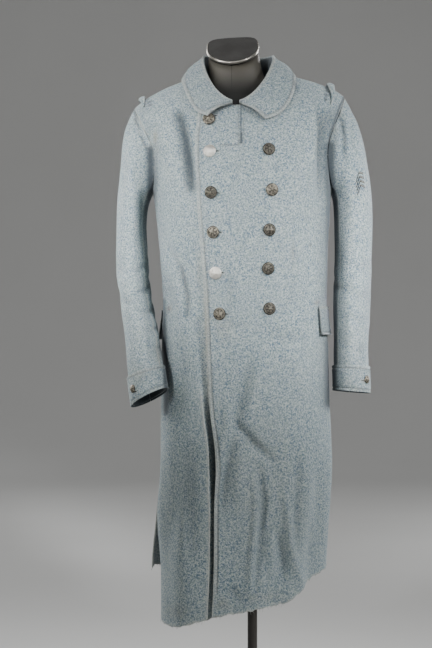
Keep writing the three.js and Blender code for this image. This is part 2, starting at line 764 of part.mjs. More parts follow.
for (const [name, { angle, along }] of Object.entries(CUFF_BUTTONS)) {
  const at = (a, b) => sleeve(name, a, b, CUFF_OUT);
  const outwards = normalOf(at, angle, along, -SLEEVES[name].side, 1);
  sewOn(`cuff_button_${name}`, button(CUFF_BUTTON, 12), "bronze", at(angle, along), outwards);
}

// Dress form: a limbless bust whose shoulders carry the coat, with a neck and a slanted cap
const formAir = table(
  ["level", "air"],
  [
    [790, 24],
    [900, 22],
    [1000, 24],
    [1120, 25],
    [1240, 22],
    [1300, 14],
    [1340, 4],
    [1352, 1.3],
    [1410, 1.3],
  ],
);
const FORM_FRONT_AIR = 9; // the two fronts lie on each other, so the form keeps this much lower under them
const BUST_COLUMNS = 28;
const BUST_LEVELS = [
  ...steps(8).map((t) => lerp(FORM_BOTTOM, 1290, t)),
  ...LEVELS.filter((level) => level > 1300 && level < NECK),
];

// The neck column's rings, from its root between the shoulders to just below the cap
const NECK_RINGS = [
  { x: -33, y: -12, side: 61, deep: 56, zFront: 1346, zSide: 1398, zBack: 1394 },
  { x: -34, y: -10, side: 55, deep: 50, zFront: 1372, zSide: 1412, zBack: 1416 },
  { x: -36.5, y: -9, side: 54, deep: 48, zFront: 1396, zSide: 1430, zBack: 1450 },
];

function bustPoint(turn, level) {
  const normal = normalOf(smoothCoat, turn, level, 0.5, 2);
  const front = FORM_FRONT_AIR * smoothstep(Math.cos(degToRad(turn)), 0.03, 0.35);
  return smoothCoat(turn, level).addScaledVector(normal, -CLOTH - formAir(level).air - front);
}

function neckPoint(n, turn) {
  const s = Math.sin(degToRad(turn));
  const c = Math.cos(degToRad(turn));
  const z = n.zSide + ((c > 0 ? n.zFront : n.zBack) - n.zSide) * c * c;
  return new THREE.Vector3(n.x + n.side * s, n.y - n.deep * c, z);
}

// A point of the slanted cap, grown sideways and moved along its own axis
function capPoint(turn, grow, up) {
  const s = Math.sin(degToRad(turn));
  const c = Math.cos(degToRad(turn));
  const power = c > 0 ? 1 : 2 / CAP.backSquare;
  const deep = (c > 0 ? CAP.front : CAP.back) + grow;
  const point = new THREE.Vector3(
    (CAP.side + grow) * Math.sign(s) * Math.abs(s) ** power,
    -deep * Math.sign(c) * Math.abs(c) ** power,
    up,
  );
  const tip = new THREE.Euler(degToRad(CAP.slant), -degToRad(CAP.lean), 0);
  return point.applyEuler(tip).add(new THREE.Vector3(CAP.x, CAP.y, CAP.z));
}

function bustRing(row, turn) {
  if (row < BUST_LEVELS.length) return bustPoint(turn, BUST_LEVELS[row]);
  const n = NECK_RINGS[row - BUST_LEVELS.length];
  return n ? neckPoint(n, turn) : capPoint(turn, -1, -CAP.thick - SEAM);
}
add("form_bust", loft(bustRing, BUST_LEVELS.length + NECK_RINGS.length + 1, BUST_COLUMNS), "form");

const CAP_ROWS = [
  [-CAP.bevel, -CAP.thick],
  [0, -CAP.thick + CAP.bevel],
  [0, -CAP.bevel],
  [-CAP.bevel, 0],
];
const capRing = (row, turn) => capPoint(turn, ...CAP_ROWS[row]);
add("form_neck_cap", loft(capRing, CAP_ROWS.length, BUST_COLUMNS), "form");

// Stand: a pole from the base plate's hub to the underside of the bust
function turned(profile, sides) {
  const points = profile.map(([r, z]) => new THREE.Vector2(r, z));
  return new THREE.LatheGeometry(points, sides).rotateX(Math.PI / 2);
}
const poleProfile = [
  [0, BASE.hubHeight + 2 * SEAM],
  [POLE.radius, BASE.hubHeight + 2 * SEAM],
  [POLE.radius, FORM_BOTTOM - 1],
  [0, FORM_BOTTOM - 1],
];
const baseProfile = [
  [0, 0],
  [BASE.radius - 2, 0],
  [BASE.radius, 2],
  [BASE.radius, BASE.thick - 3],
  [BASE.radius - 3, BASE.thick],
  [BASE.hub + 5, BASE.thick],
  [BASE.hub, BASE.thick + 5],
  [BASE.hub - 4, BASE.hubHeight],
  [0, BASE.hubHeight],
];
add("stand_pole", turned(poleProfile, POLE.sides), "stand");
add("stand_base", turned(baseProfile, BASE.sides), "stand");

export default group;
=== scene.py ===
# %% [markdown]
# A double-breasted wool greatcoat hangs on a limbless dress form with a round base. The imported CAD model
# gives every piece its place and size. This notebook gives each piece its look: soft cloth on the form
# of its solid, finer buttons, sewing, worn edges and stains, then a floor, soft lights and the camera.

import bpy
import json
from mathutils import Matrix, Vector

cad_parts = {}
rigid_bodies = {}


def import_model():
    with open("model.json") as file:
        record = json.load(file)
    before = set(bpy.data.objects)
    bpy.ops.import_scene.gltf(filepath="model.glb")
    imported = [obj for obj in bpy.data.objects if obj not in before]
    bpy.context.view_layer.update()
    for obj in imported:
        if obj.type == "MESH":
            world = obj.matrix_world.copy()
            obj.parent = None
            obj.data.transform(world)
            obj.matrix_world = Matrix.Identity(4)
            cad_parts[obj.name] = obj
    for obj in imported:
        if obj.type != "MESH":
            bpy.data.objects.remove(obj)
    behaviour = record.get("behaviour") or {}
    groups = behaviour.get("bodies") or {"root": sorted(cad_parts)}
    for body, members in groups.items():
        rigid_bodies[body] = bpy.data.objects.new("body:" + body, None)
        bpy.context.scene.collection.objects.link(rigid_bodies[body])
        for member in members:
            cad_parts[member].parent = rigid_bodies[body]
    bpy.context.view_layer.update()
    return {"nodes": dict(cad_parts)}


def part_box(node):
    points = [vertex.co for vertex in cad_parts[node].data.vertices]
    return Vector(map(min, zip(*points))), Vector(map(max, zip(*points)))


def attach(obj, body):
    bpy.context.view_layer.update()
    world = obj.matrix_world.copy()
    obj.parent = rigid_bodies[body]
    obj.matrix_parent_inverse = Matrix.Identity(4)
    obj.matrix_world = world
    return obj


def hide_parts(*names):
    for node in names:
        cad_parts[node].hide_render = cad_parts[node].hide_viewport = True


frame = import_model()
print("CAD nodes:", len(frame["nodes"]))

# %% Tools of this notebook
import json
import math
import random

import bmesh
import bpy
import numpy as np
from mathutils import Matrix, Vector, noise
from mathutils.bvhtree import BVHTree
from mathutils.kdtree import KDTree

MM = 0.001
scene = bpy.context.scene

# %% [markdown]
# The camera comes first, because creases, stains and sewing are placed by where they show in the
# picture. It stands level in front of the coat, far enough away that the perspective is gentle. A long
# lens frames the coat as the picture does. The two helpers below turn a place into picture coordinates,
# and picture coordinates into a line of sight.

# %% Camera and picture coordinates
PICTURE = {"width": 432, "height": 648, "scale": 2.05 * MM}
EYE = Vector((-74.6 * MM, -3600 * MM, 900 * MM))
SENSOR = 36.0

camera_data = bpy.data.cameras.new("camera")
camera_data.sensor_width = SENSOR
camera_data.lens = SENSOR * -EYE.y / (PICTURE["height"] * PICTURE["scale"])
camera = bpy.data.objects.new("camera", camera_data)
camera.location = EYE
camera.rotation_euler = (math.pi / 2, 0, 0)
scene.collection.objects.link(camera)
scene.camera = camera


def in_picture(points):
    """Picture coordinates of an array of places. from_behind below gives the coat's back at the same scale.
    """
    points = np.asarray(points, float)
    size = -EYE.y / (points[:, 1] - EYE.y) / PICTURE["scale"]
    u = PICTURE["width"] / 2 + (points[:, 0] - EYE.x) * size
    v = PICTURE["height"] / 2 - (points[:, 2] - EYE.z) * size
    return np.stack([u, v], axis=1)


def from_behind(points):
    points = np.asarray(points, float)
    u = -points[:, 0] / PICTURE["scale"]
    v = PICTURE["height"] / 2 - (points[:, 2] - EYE.z) / PICTURE["scale"]
    return np.stack([u, v], axis=1)


def line_of_sight(u, v):
    target = Vector((
        EYE.x + (u - PICTURE["width"] / 2) * PICTURE["scale"],
        0,
        EYE.z - (v - PICTURE["height"] / 2) * PICTURE["scale"],
    ))
    return (target - EYE).normalized()


print("lens", round(camera_data.lens, 1), "mm")

# %% [markdown]
# The folds of the solids are the large ones. Real milled wool also has smaller creases, where it was
# pressed against something or hangs from a button. Each is a line in the picture, with a half width in
# picture units and a height in millimetres, troughs below zero. They could be sculpted by hand, but a
# table can be read and changed. The side that the picture doesn't show gets similar creases, in a table
# seen from behind.

# %% Creases of the coat's body
BODY_CREASES = [
    # name, half width, height, line
    ("knee fold down to the cross", 5.0, -5.5, [(250, 366), (245, 392), (239, 416), (235, 426)]),
    ("cross, to the right", 4.5, -6.0, [(234, 420), (244, 432), (256, 446), (272, 460)]),
    ("cross, to the left", 4.5, -4.5, [(238, 430), (230, 455), (224, 482), (220, 512)]),
    ("left of the cross", 6.0, 3.5, [(226, 402), (229, 424), (222, 446), (215, 470)]),
    ("below the cross", 7.0, 4.0, [(246, 452), (240, 476), (238, 500)]),
    ("under the knee fold", 6.0, 3.0, [(258, 372), (252, 400), (247, 420)]),
    ("long ridge", 3.6, 5.0, [(253, 474), (256.5, 503), (255, 535), (252, 566), (251, 590)]),
    ("beside the long ridge", 4.0, -6.0, [(259, 470), (264, 500), (261, 530), (257, 562), (256, 592)]),
    ("small tent left", 4.0, -3.5, [(270, 524), (264, 548), (262, 572)]),
    ("small tent right", 4.0, -4.0, [(276, 532), (282, 556), (284, 580)]),
    ("small tent top", 4.0, 3.5, [(273, 536), (272, 560), (272, 590)]),
    ("right ridge", 4.0, 4.5, [(285, 494), (289, 530), (294, 562), (303, 586)]),
    ("right hollow", 5.0, -4.5, [(298, 452), (300, 480), (298, 514), (296, 545)]),
    ("right edge ridge", 5.0, 3.5, [(311, 470), (310, 510), (312, 548)]),
    ("waist crease", 3.0, -4.0, [(169, 246), (177, 266), (183, 284), (187, 299), (186, 318)]),
    ("waist crease lip", 4.5, 4.0, [(163, 250), (170, 270), (176, 290), (179, 312)]),
    ("hollow beside the front edge", 5.5, -6.0, [(177, 112), (182, 138), (187, 166), (190, 192)]),
    ("chest left", 8.0, 3.0, [(164, 118), (168, 150), (172, 182)]),
    ("chest right ridge", 4.2, 5.5, [(311, 96), (313.5, 122), (312.5, 150), (310, 176)]),
    ("chest right trough", 4.0, -5.5, [(318, 104), (321, 130), (322, 160), (321, 196)]),
    ("chest right soft ridge", 7.0, 2.5, [(292, 132), (291, 170), (292, 212)]),
    ("waist right line", 2.6, -2.2, [(294, 250), (293.6, 274), (292, 296), (287, 308), (279, 315)]),
    ("between the buttons", 3.5, -2.8, [(229, 278), (229, 300), (228, 320)]),
    ("below the last button", 2.6, -3.2, [(230, 325), (238, 326.5), (246, 325)]),
    ("below the slit", 2.4, -2.6, [(240, 144), (242, 156), (240, 172)]),
    ("beside the third button", 3.0, -2.2, [(278, 154), (277, 166), (275, 178)]),
    ("waist left", 7.0, -3.0, [(262, 330), (282, 338), (304, 336)]),
    ("hip right", 8.0, 3.0, [(286, 346), (300, 372), (306, 404)]),
    ("hip left", 6.0, -3.0, [(181, 340), (184, 372), (180, 410)]),
    ("skirt left ridge", 6.0, 3.0, [(171, 420), (174, 470), (170, 520)]),
    ("skirt left trough", 7.0, -3.5, [(190, 450), (188, 500), (190, 560)]),
    ("hem corner", 4.0, -2.5, [(226, 598), (233, 592), (238, 600)]),
]
BACK_CREASES = [
    ("across the blades", 8.0, -4.0, [(-52, 142), (-20, 152), (12, 150), (46, 140)]),
    ("waist", 5.0, -3.5, [(-50, 250), (-22, 262), (6, 258)]),
    ("waist lip", 6.0, 3.0, [(-44, 262), (-18, 274), (8, 270)]),
    ("seat left", 7.0, -5.0, [(-34, 330), (-44, 380), (-40, 440)]),
    ("seat right", 7.0, -4.0, [(44, 330), (52, 380), (48, 450)]),
    ("skirt middle ridge", 5.0, 4.0, [(6, 400), (10, 460), (4, 530)]),
    ("skirt middle trough", 4.5, -5.0, [(18, 420), (22, 480), (18, 540)]),
    ("skirt left trough", 4.5, -4.5, [(-62, 430), (-66, 490), (-60, 545)]),
    ("skirt right ridge", 5.0, 4.0, [(70, 420), (72, 480), (66, 540)]),
]
# The under layer also sinks away beside the top layer's edge, so that the edge stands proud of it.
UNDER_LAYER_CREASES = [
    ("beside the edge, chest", 4.5, -4.5, [(190, 112), (189.5, 150), (190.5, 185), (193.5, 222)]),
    ("beside the edge, waist", 4.0, -3.5, [(193.5, 214), (196, 258), (200, 292), (201, 330)]),
    ("beside the edge, hip", 4.0, -3.5, [(200.5, 322), (203, 356), (205, 392)]),
]
print("creases on the body:", len(BODY_CREASES) + len(BACK_CREASES) + len(UNDER_LAYER_CREASES))

# %% Creases of the sleeves
RIGHT_SLEEVE_CREASES = [
    ("elbow 1", 3.0, -3.0, [(149, 262), (143, 268), (134, 270)]),
    ("elbow 2", 3.0, -3.2, [(154, 284), (145, 292), (134, 291)]),
    ("elbow 3", 3.4, -3.0, [(158, 306), (149, 313), (138, 310)]),
    ("elbow 4", 3.0, -2.6, [(161, 326), (152, 331), (143, 328)]),
    ("elbow 5", 3.0, -2.6, [(166, 345), (157, 349), (148, 346)]),
    ("outer dent", 4.0, -3.4, [(118, 296), (125, 303), (132, 300)]),
    ("outer swell", 5.0, 2.5, [(120, 280), (126, 284)]),
    ("upper arm ridge", 6.0, 3.0, [(131, 140), (131, 190), (133, 240)]),
    ("upper arm trough", 4.0, -2.6, [(142, 158), (143, 200), (145, 236)]),
    ("forearm ridge", 6.0, 2.4, [(140, 318), (144, 350), (146, 372)]),
    ("above the cuff", 4.0, -2.2, [(136, 352), (146, 360), (158, 356)]),
]
LEFT_SLEEVE_CREASES = [
    ("pleat at the head", 2.2, -5.5, [(337.5, 110), (341.5, 121), (342.8, 134), (343, 150)]),
    ("beside the pleat", 3.0, 4.6, [(336.5, 116), (337.5, 134), (338, 160)]),
    ("second pleat", 2.6, 3.8, [(345.5, 110), (347.5, 130), (348.5, 156)]),
    ("beside the second pleat", 2.4, -3.4, [(351, 112), (352.5, 130), (353, 150)]),
    ("upper arm trough", 4.5, -2.4, [(341, 142), (344, 176), (345, 214)]),
    ("elbow 1", 4.0, -2.8, [(371, 262), (362, 268), (352, 266)]),
    ("elbow 2", 4.0, -3.0, [(372, 290), (361, 297), (350, 294)]),
    ("elbow 3", 3.6, -2.6, [(369, 316), (358, 321), (346, 318)]),
    ("inner elbow", 4.0, -2.4, [(333, 286), (342, 290), (350, 288)]),
    ("forearm ridge", 6.0, 2.6, [(350, 306), (351, 334), (350, 352)]),
    ("above the cuff", 4.0, -2.4, [(368, 348), (360, 352), (350, 350)]),
]
print("creases on the sleeves:", len(RIGHT_SLEEVE_CREASES) + len(LEFT_SLEEVE_CREASES))

# %% [markdown]
# A crease moves cloth straight out of its surface. The outer and inner faces of a wall have to move
# together, so the direction comes from the place alone and not from each face. Around the body it is the
# outward direction of an ellipse, tipped up over the shoulders, and around a sleeve it points away from
# its middle line.

# %% Directions and heights of the creases
BODY_AXIS = {"x": -28 * MM, "y": -12 * MM, "wide": 185 * MM, "deep": 140 * MM}
SHOULDER_TIP = {"from": 1290 * MM, "to": 1370 * MM, "up": 1.1}
SLEEVE_AXES = {
    # z, x, y of the sleeve's middle line, in millimetres
    "left": [(740, 200, -30), (860, 201, -18), (1035, 206, 2), (1170, 206, 4), (1350, 186, 1)],
    "right": [
        (740, -208, -116), (860, -222, -76), (952, -238, -34), (1035, -246, -8),
        (1200, -245, 3), (1350, -212, 1),
    ],
}
CREASE_GAIN = 1.7
UNDER_EDGE_SHIFT = 6 * MM
UNEVEN = {"size": 85 * MM, "height": 1.7 * MM, "fine_size": 30 * MM, "fine_height": 0.55 * MM}
ARMHOLE_CALM = {"from": 4 * MM, "to": 24 * MM}


def soft_step(x, low, high):
    t = np.clip((x - low) / (high - low), 0, 1)
    return t * t * (3 - 2 * t)


def outwards_of_body(points):
    dx = (points[:, 0] - BODY_AXIS["x"]) / BODY_AXIS["wide"]
    dy = (points[:, 1] - BODY_AXIS["y"]) / BODY_AXIS["deep"]
    out = np.stack([
        np.sign(dx) * np.abs(dx) ** 1.5 / BODY_AXIS["wide"],
        np.sign(dy) * np.abs(dy) ** 1.5 / BODY_AXIS["deep"],
        np.zeros(len(points)),
    ], axis=1)
    out /= np.linalg.norm(out, axis=1, keepdims=True) + 1e-9
    out[:, 2] = SHOULDER_TIP["up"] * soft_step(points[:, 2], SHOULDER_TIP["from"], SHOULDER_TIP["to"])
    return out / np.linalg.norm(out, axis=1, keepdims=True)


def outwards_of_sleeve(points, side):
    z, x, y = np.array(SLEEVE_AXES[side], float).T * MM
    out = np.stack([
        points[:, 0] - np.interp(points[:, 2], z, x),
        (points[:, 1] - np.interp(points[:, 2], z, y)) * 0.7,
        np.zeros(len(points)),
    ], axis=1)
    return out / (np.linalg.norm(out, axis=1, keepdims=True) + 1e-9)


def from_line(where, line):
    """Distance of each place from a line through points, and how far along the line it lies, from 0 to 1."""
    line = np.array(line, float)
    lengths = np.linalg.norm(np.diff(line, axis=0), axis=1)
    best = np.full(len(where), 1e9)
    share = np.zeros(len(where))
    for k, length in enumerate(lengths):
        a = line[k]
        d = (line[k + 1] - a) / length
        t = np.clip((where - a) @ d, 0, length)
        away = np.linalg.norm(where - a - t[:, None] * d, axis=1)
        closer = away < best
        best = np.where(closer, away, best)
        share = np.where(closer, (lengths[:k].sum() + t) / lengths.sum(), share)
    return best, share


def crease_heights(where, creases):
    """Summed height of the creases at each place, in metres. Each fades out at both ends of its line."""
    total = np.zeros(len(where))
    for name, half_width, height, line in creases:
        away, share = from_line(where, line)
        fade = np.sin(np.pi * np.clip(share * 0.9 + 0.05, 0, 1)) ** 0.6
        total += height * MM * fade * np.exp(-((away / half_width) ** 2))
    return total


def unevenness(points):
    """The slow waviness that hand-cut milled wool has, the same for every piece at one place."""
    total = np.zeros(len(points))
    for size, height in ((UNEVEN["size"], UNEVEN["height"]), (UNEVEN["fine_size"], UNEVEN["fine_height"])):
        total += height * np.array([noise.noise(Vector(p) / size) for p in points])
    return total


def armhole_points():
    heads = []
    for side in ("left", "right"):
        for part in ("upper_sleeve_", "under_sleeve_"):
            mesh = frame["nodes"][part + side].data
            sign = 1 if side == "left" else -1
            for vertex in mesh.vertices:
                z, x, y = np.array(SLEEVE_AXES[side], float).T * MM
                middle = np.interp(vertex.co.z, z, x)
                if vertex.co.z > 1.17 and sign * (vertex.co.x - middle) < -0.012:
                    heads.append(vertex.co.copy())
    tree = KDTree(len(heads))
    for i, co in enumerate(heads):
        tree.insert(co, i)
    tree.balance()
    return tree


ARMHOLES = armhole_points()


def at_armholes(points, low, high):
    """0 within low of an armhole seam, and 1 from high outwards."""
    away = np.array([ARMHOLES.find(Vector(p))[2] for p in points])
    return soft_step(away, low, high)


def calm_at_armholes(points):
    return at_armholes(points, ARMHOLE_CALM["from"], ARMHOLE_CALM["to"])


def body_creases(points):
    """Height of the body's creases at each place, front and back."""
    out = outwards_of_body(points)
    front = soft_step(-out[:, 1], 0.05, 0.5)
    back = soft_step(out[:, 1], 0.05, 0.5)
    height = front * crease_heights(in_picture(points), BODY_CREASES)
    return height + back * crease_heights(from_behind(points), BACK_CREASES)


def body_shift(points):
    points = np.asarray(points, float)
    height = CREASE_GAIN * body_creases(points) + unevenness(points)
    return outwards_of_body(points) * (height * calm_at_armholes(points))[:, None]


def under_layer_shift(points):
    """As the body, and the under layer's own edge hangs a little nearer to the top layer towards the hem."""
    points = np.asarray(points, float)
    out = outwards_of_body(points)
    where = in_picture(points)
    front = soft_step(-out[:, 1], 0.05, 0.5)
    extra = front * crease_heights(where, UNDER_LAYER_CREASES)
    shift = body_shift(points) + out * extra[:, None]
    near_edge = soft_step(where[:, 0], 186, 206) * soft_step(where[:, 1], 470, 520)
    shift[:, 0] += UNDER_EDGE_SHIFT * front * near_edge
    return shift


def sleeve_creases(points, side):
    """Height of a sleeve's creases. Its back gets the same ones, weaker and a little lower down."""
    creases = LEFT_SLEEVE_CREASES if side == "left" else RIGHT_SLEEVE_CREASES
    front = soft_step(-outwards_of_sleeve(points, side)[:, 1], -0.1, 0.4)
    height = front * crease_heights(in_picture(points), creases)
    return height + 0.6 * (1 - front) * crease_heights(in_picture(points) + np.array([2.0, 9.0]), creases)


def sleeve_shift(points, side):
    points = np.asarray(points, float)
    height = CREASE_GAIN * sleeve_creases(points, side) + 0.8 * unevenness(points)
    return outwards_of_sleeve(points, side) * (height * calm_at_armholes(points))[:, None]


print("armhole points:", len(armhole_points().find_range(Vector((0, 0, 1.26)), 1)))

# %% [markdown]
# Each piece of cloth is a closed shell about 2.4 mm thick. A copy of its solid is merged into one surface,
# its triangles are joined back into four-sided faces, and the sharp rims are bevelled, because a turned or
# raw edge of thick wool is round. Subdivision then rounds the copy, long faces are cut once more, and the
# creases move it. The attribute "rim" says how near a point is to an edge, for the wear that edges get. It
# also makes the ridges of creases paler, partly as wear and partly as a painted highlight.

# %% Cloth pieces from their solids
RIM_ANGLE = math.radians(58)
RIM_ROUND = 0.8 * MM
pieces = {}
rims = {}


def solid_copy(node):
    bm = bmesh.new()
    bm.from_mesh(frame["nodes"][node].data)
    bmesh.ops.remove_doubles(bm, verts=bm.verts, dist=0.02 * MM)
    bmesh.ops.join_triangles(
        bm, faces=bm.faces, angle_face_threshold=math.radians(60), angle_shape_threshold=math.radians(75)
    )
    return bm


def sharp_edges(bm, angle=RIM_ANGLE):
    return [e for e in bm.edges if e.is_manifold and e.calc_face_angle(0) > angle]


def rim_loops(bm, thickness):
    """The ordered loops of a wall's sharp edges, without the short ones that cross its thickness."""
    bm.edges.index_update()
    free = [e.calc_length() > thickness * 1.3 for e in bm.edges]
    for edge in bm.edges:
        free[edge.index] = free[edge.index] and edge.is_manifold and edge.calc_face_angle(0) > RIM_ANGLE
    loops = []
    for edge in bm.edges:
        if not free[edge.index]:
            continue
        free[edge.index] = False
        start, at = edge.verts
        loop = [start.co.copy(), at.co.copy()]
        while at is not start:
            following = next((e for e in at.link_edges if free[e.index]), None)
            if following is None:
                break
            free[following.index] = False
            at = following.other_vert(at)
            loop.append(at.co.copy())
        loops.append(loop)
    return loops


def mesh_from(bm, name):
    mesh = bpy.data.meshes.new(name)
    bm.to_mesh(mesh)
    bm.free()
    return mesh


def subdivided(bm, levels):
    """The same surface after a Subdivision Surface modifier, as a new bmesh."""
    mesh = mesh_from(bm, "rough")
    rough = bpy.data.objects.new("rough", mesh)
    scene.collection.objects.link(rough)
    modifier = rough.modifiers.new("round", "SUBSURF")
    modifier.levels = levels
    modifier.render_levels = levels
    graph = bpy.context.evaluated_depsgraph_get()
    smooth = bpy.data.meshes.new_from_object(rough.evaluated_get(graph))
    fine = bmesh.new()
    fine.from_mesh(smooth)
    bpy.data.objects.remove(rough)
    bpy.data.meshes.remove(mesh)
    bpy.data.meshes.remove(smooth)
    return fine


def cut_long_edges(bm, longest):
    long_edges = [e for e in bm.edges if e.calc_length() > longest]
    bmesh.ops.subdivide_edges(bm, edges=long_edges, cuts=1, use_grid_fill=True)


def nearness(points, line_points, reach):
    """1 on the given points and 0 from reach away."""
    tree = KDTree(len(line_points))
    for i, co in enumerate(line_points):
        tree.insert(co, i)
    tree.balance()
    away = np.array([tree.find(Vector(p))[2] for p in points])
    return np.clip(1 - away / reach, 0, 1)


def close_spaced(loop, gap):
    points = []
    for a, b in zip(loop, loop[1:]):
        count = max(1, int((b - a).length / gap))
        points += [a.lerp(b, k / count) for k in range(count)]
    return points + [loop[-1]]


def finish_piece(bm, name, material, smooth_angle=math.radians(45)):
    """Turns a bmesh into a finished piece that rides on the one body."""
    for face in bm.faces:
        face.smooth = True
    for edge in bm.edges:
        edge.smooth = not (edge.is_manifold and edge.calc_face_angle(0) > smooth_angle)
    mesh = mesh_from(bm, name)
    piece = bpy.data.objects.new(name, mesh)
    scene.collection.objects.link(piece)
    mesh.materials.append(material)
    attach(piece, "root")
    return piece


def store(piece, name, values):
    attribute = piece.data.attributes.new(name, "FLOAT", "POINT")
    attribute.data.foreach_set("value", np.asarray(values, np.float32))


def places(mesh_or_bm):
    if isinstance(mesh_or_bm, bmesh.types.BMesh):
        return np.array([v.co for v in mesh_or_bm.verts])
    flat = np.empty(len(mesh_or_bm.vertices) * 3, np.float32)
    mesh_or_bm.vertices.foreach_get("co", flat)
    return flat.reshape(-1, 3).astype(float)


def move_all(bm, shift):
    for vertex, step in zip(bm.verts, shift):
        vertex.co += Vector(step)


print("rims are rounded by", RIM_ROUND / MM, "mm")

# %% [markdown]
# Greatcoat wool is spun from fibres dyed in several blues with undyed ones between, so close up it is
# speckled, and its brushed nap hides most of the twill. A node group makes the speckle, the nap and the
# twill. Stains, faded places, painted shade, pale worn edges and paler crease ridges, partly worn and partly
# a painted highlight, come from attributes stored on each piece.

# %% Wool speckle group
def new_group(name, inputs, outputs):
    group = bpy.data.node_groups.new(name, "ShaderNodeTree")
    for socket, kind, value in inputs:
        made = group.interface.new_socket(socket, in_out="INPUT", socket_type=kind)
        if value is not None:
            made.default_value = value
    for socket, kind in outputs:
        group.interface.new_socket(socket, in_out="OUTPUT", socket_type=kind)
    return group, group.nodes.new("NodeGroupInput"), group.nodes.new("NodeGroupOutput")


def add_node(tree, kind, **values):
    """Adds a node, sets its properties, and sets or links its inputs from a dict named inputs."""
    node = tree.nodes.new(kind)
    inputs = values.pop("inputs", {})
    for key, value in values.items():
        setattr(node, key, value)
    for key, value in inputs.items():
        if isinstance(value, bpy.types.NodeSocket):
            tree.links.new(value, node.inputs[key])
        else:
            node.inputs[key].default_value = value
    return node


def ramp(tree, source, stops):
    node = add_node(tree, "ShaderNodeValToRGB", inputs={0: source})
    elements = node.color_ramp.elements
    while len(elements) < len(stops):
        elements.new(0.5)
    for element, (position, colour) in zip(elements, stops):
        element.position = position
        element.color = (*colour, 1) if len(colour) == 3 else colour
    return node.outputs["Color"]


def mix_colour(tree, factor, a, b, blend="MIX"):
    node = add_node(tree, "ShaderNodeMix", data_type="RGBA", blend_type=blend)
    for key, value in ((0, factor), (6, a), (7, b)):
        if isinstance(value, bpy.types.NodeSocket):
            tree.links.new(value, node.inputs[key])
        else:
            node.inputs[key].default_value = (*value, 1) if isinstance(value, tuple) else value
    return node.outputs[2]


def maths(tree, operation, a, b=0.0):
    node = add_node(tree, "ShaderNodeMath", operation=operation, inputs={0: a, 1: b})
    return node.outputs[0]


def add_noise(tree, place, scale, detail, roughness=0.5):
    inputs = {"Vector": place, "Scale": scale, "Detail": detail, "Roughness": roughness}
    return add_node(tree, "ShaderNodeTexNoise", inputs=inputs)


def add_bump(tree, shader, height, strength, distance):
    inputs = {"Height": height, "Strength": strength, "Distance": distance}
    bump = add_node(tree, "ShaderNodeBump", inputs=inputs)
    tree.links.new(bump.outputs["Normal"], shader.inputs["Normal"])


def add_roughness(tree, shader, value, low, high):
    """low and high are each a place on the ramp and the roughness there."""
    stops = [(place, (roughness,) * 3) for place, roughness in (low, high)]
    tree.links.new(ramp(tree, value, stops), shader.inputs["Roughness"])


def make_wool_speckle():
    group, given, result = new_group(
        "wool_speckle",
        [
            ("Vector", "NodeSocketVector", None),
            ("Dark", "NodeSocketColor", (0.1, 0.15, 0.2, 1)),
            ("Middle", "NodeSocketColor", (0.2, 0.27, 0.32, 1)),
            ("Pale", "NodeSocketColor", (0.45, 0.5, 0.48, 1)),
            ("Scale", "NodeSocketFloat", 1.0),
        ],
        [("Color", "NodeSocketColor"), ("Height", "NodeSocketFloat")],
    )
    scaled = add_node(
        group, "ShaderNodeVectorMath", operation="SCALE",
        inputs={0: given.outputs["Vector"], "Scale": given.outputs["Scale"]},
    ).outputs[0]
    tuft = add_noise(group, scaled, 330.0, 3.0, 0.65)
    hue = add_noise(group, scaled, 190.0, 2.0)
    fibre = add_noise(group, scaled, 900.0, 2.0, 0.7)
    fleck = add_node(group, "ShaderNodeTexVoronoi", inputs={"Vector": scaled, "Scale": 280.0})
    mixed = mix_colour(group, ramp(group, tuft.outputs["Fac"], [(0.42, (0, 0, 0)), (0.6, (1, 1, 1))]),
                       given.outputs["Dark"], given.outputs["Pale"])
    mixed = mix_colour(group, 0.12, mixed, given.outputs["Middle"])
    tint = ramp(group, hue.outputs["Fac"], [(0.4, (0, 0, 0)), (0.62, (0.32, 0.32, 0.32))])
    tinted = mix_colour(group, tint,
                        mixed, (0.3, 0.37, 0.3))
    flecks = ramp(group, fleck.outputs["Distance"], [(0.1, (0.4, 0.4, 0.4)), (0.3, (0, 0, 0))])
    flecked = mix_colour(group, flecks,
                         tinted, given.outputs["Pale"])
    twill = add_node(
        group, "ShaderNodeTexWave", bands_direction="DIAGONAL",
        inputs={"Vector": scaled, "Scale": 130.0, "Distortion": 5.0, "Detail": 2.0, "Detail Scale": 2.0},
    )
    height = maths(group, "ADD", maths(group, "MULTIPLY", fibre.outputs["Fac"], 0.45),
                   maths(group, "ADD", maths(group, "MULTIPLY", tuft.outputs["Fac"], 0.8),
                         maths(group, "MULTIPLY", twill.outputs["Fac"], 0.18)))
    group.links.new(flecked, result.inputs["Color"])
    group.links.new(height, result.inputs["Height"])
    return group


WOOL_SPECKLE = make_wool_speckle()
print("group", WOOL_SPECKLE.name)

# %% Wool material
WOOL = {"dark": (0.06, 0.115, 0.178), "middle": (0.175, 0.24, 0.285), "pale": (0.47, 0.51, 0.495)}


def attribute_value(tree, name):
    return add_node(tree, "ShaderNodeAttribute", attribute_name=name).outputs["Fac"]


def new_material(name):
    material = bpy.data.materials.new(name)
    material.use_nodes = True
    tree = material.node_tree
    return material, tree, tree.nodes["Principled BSDF"]


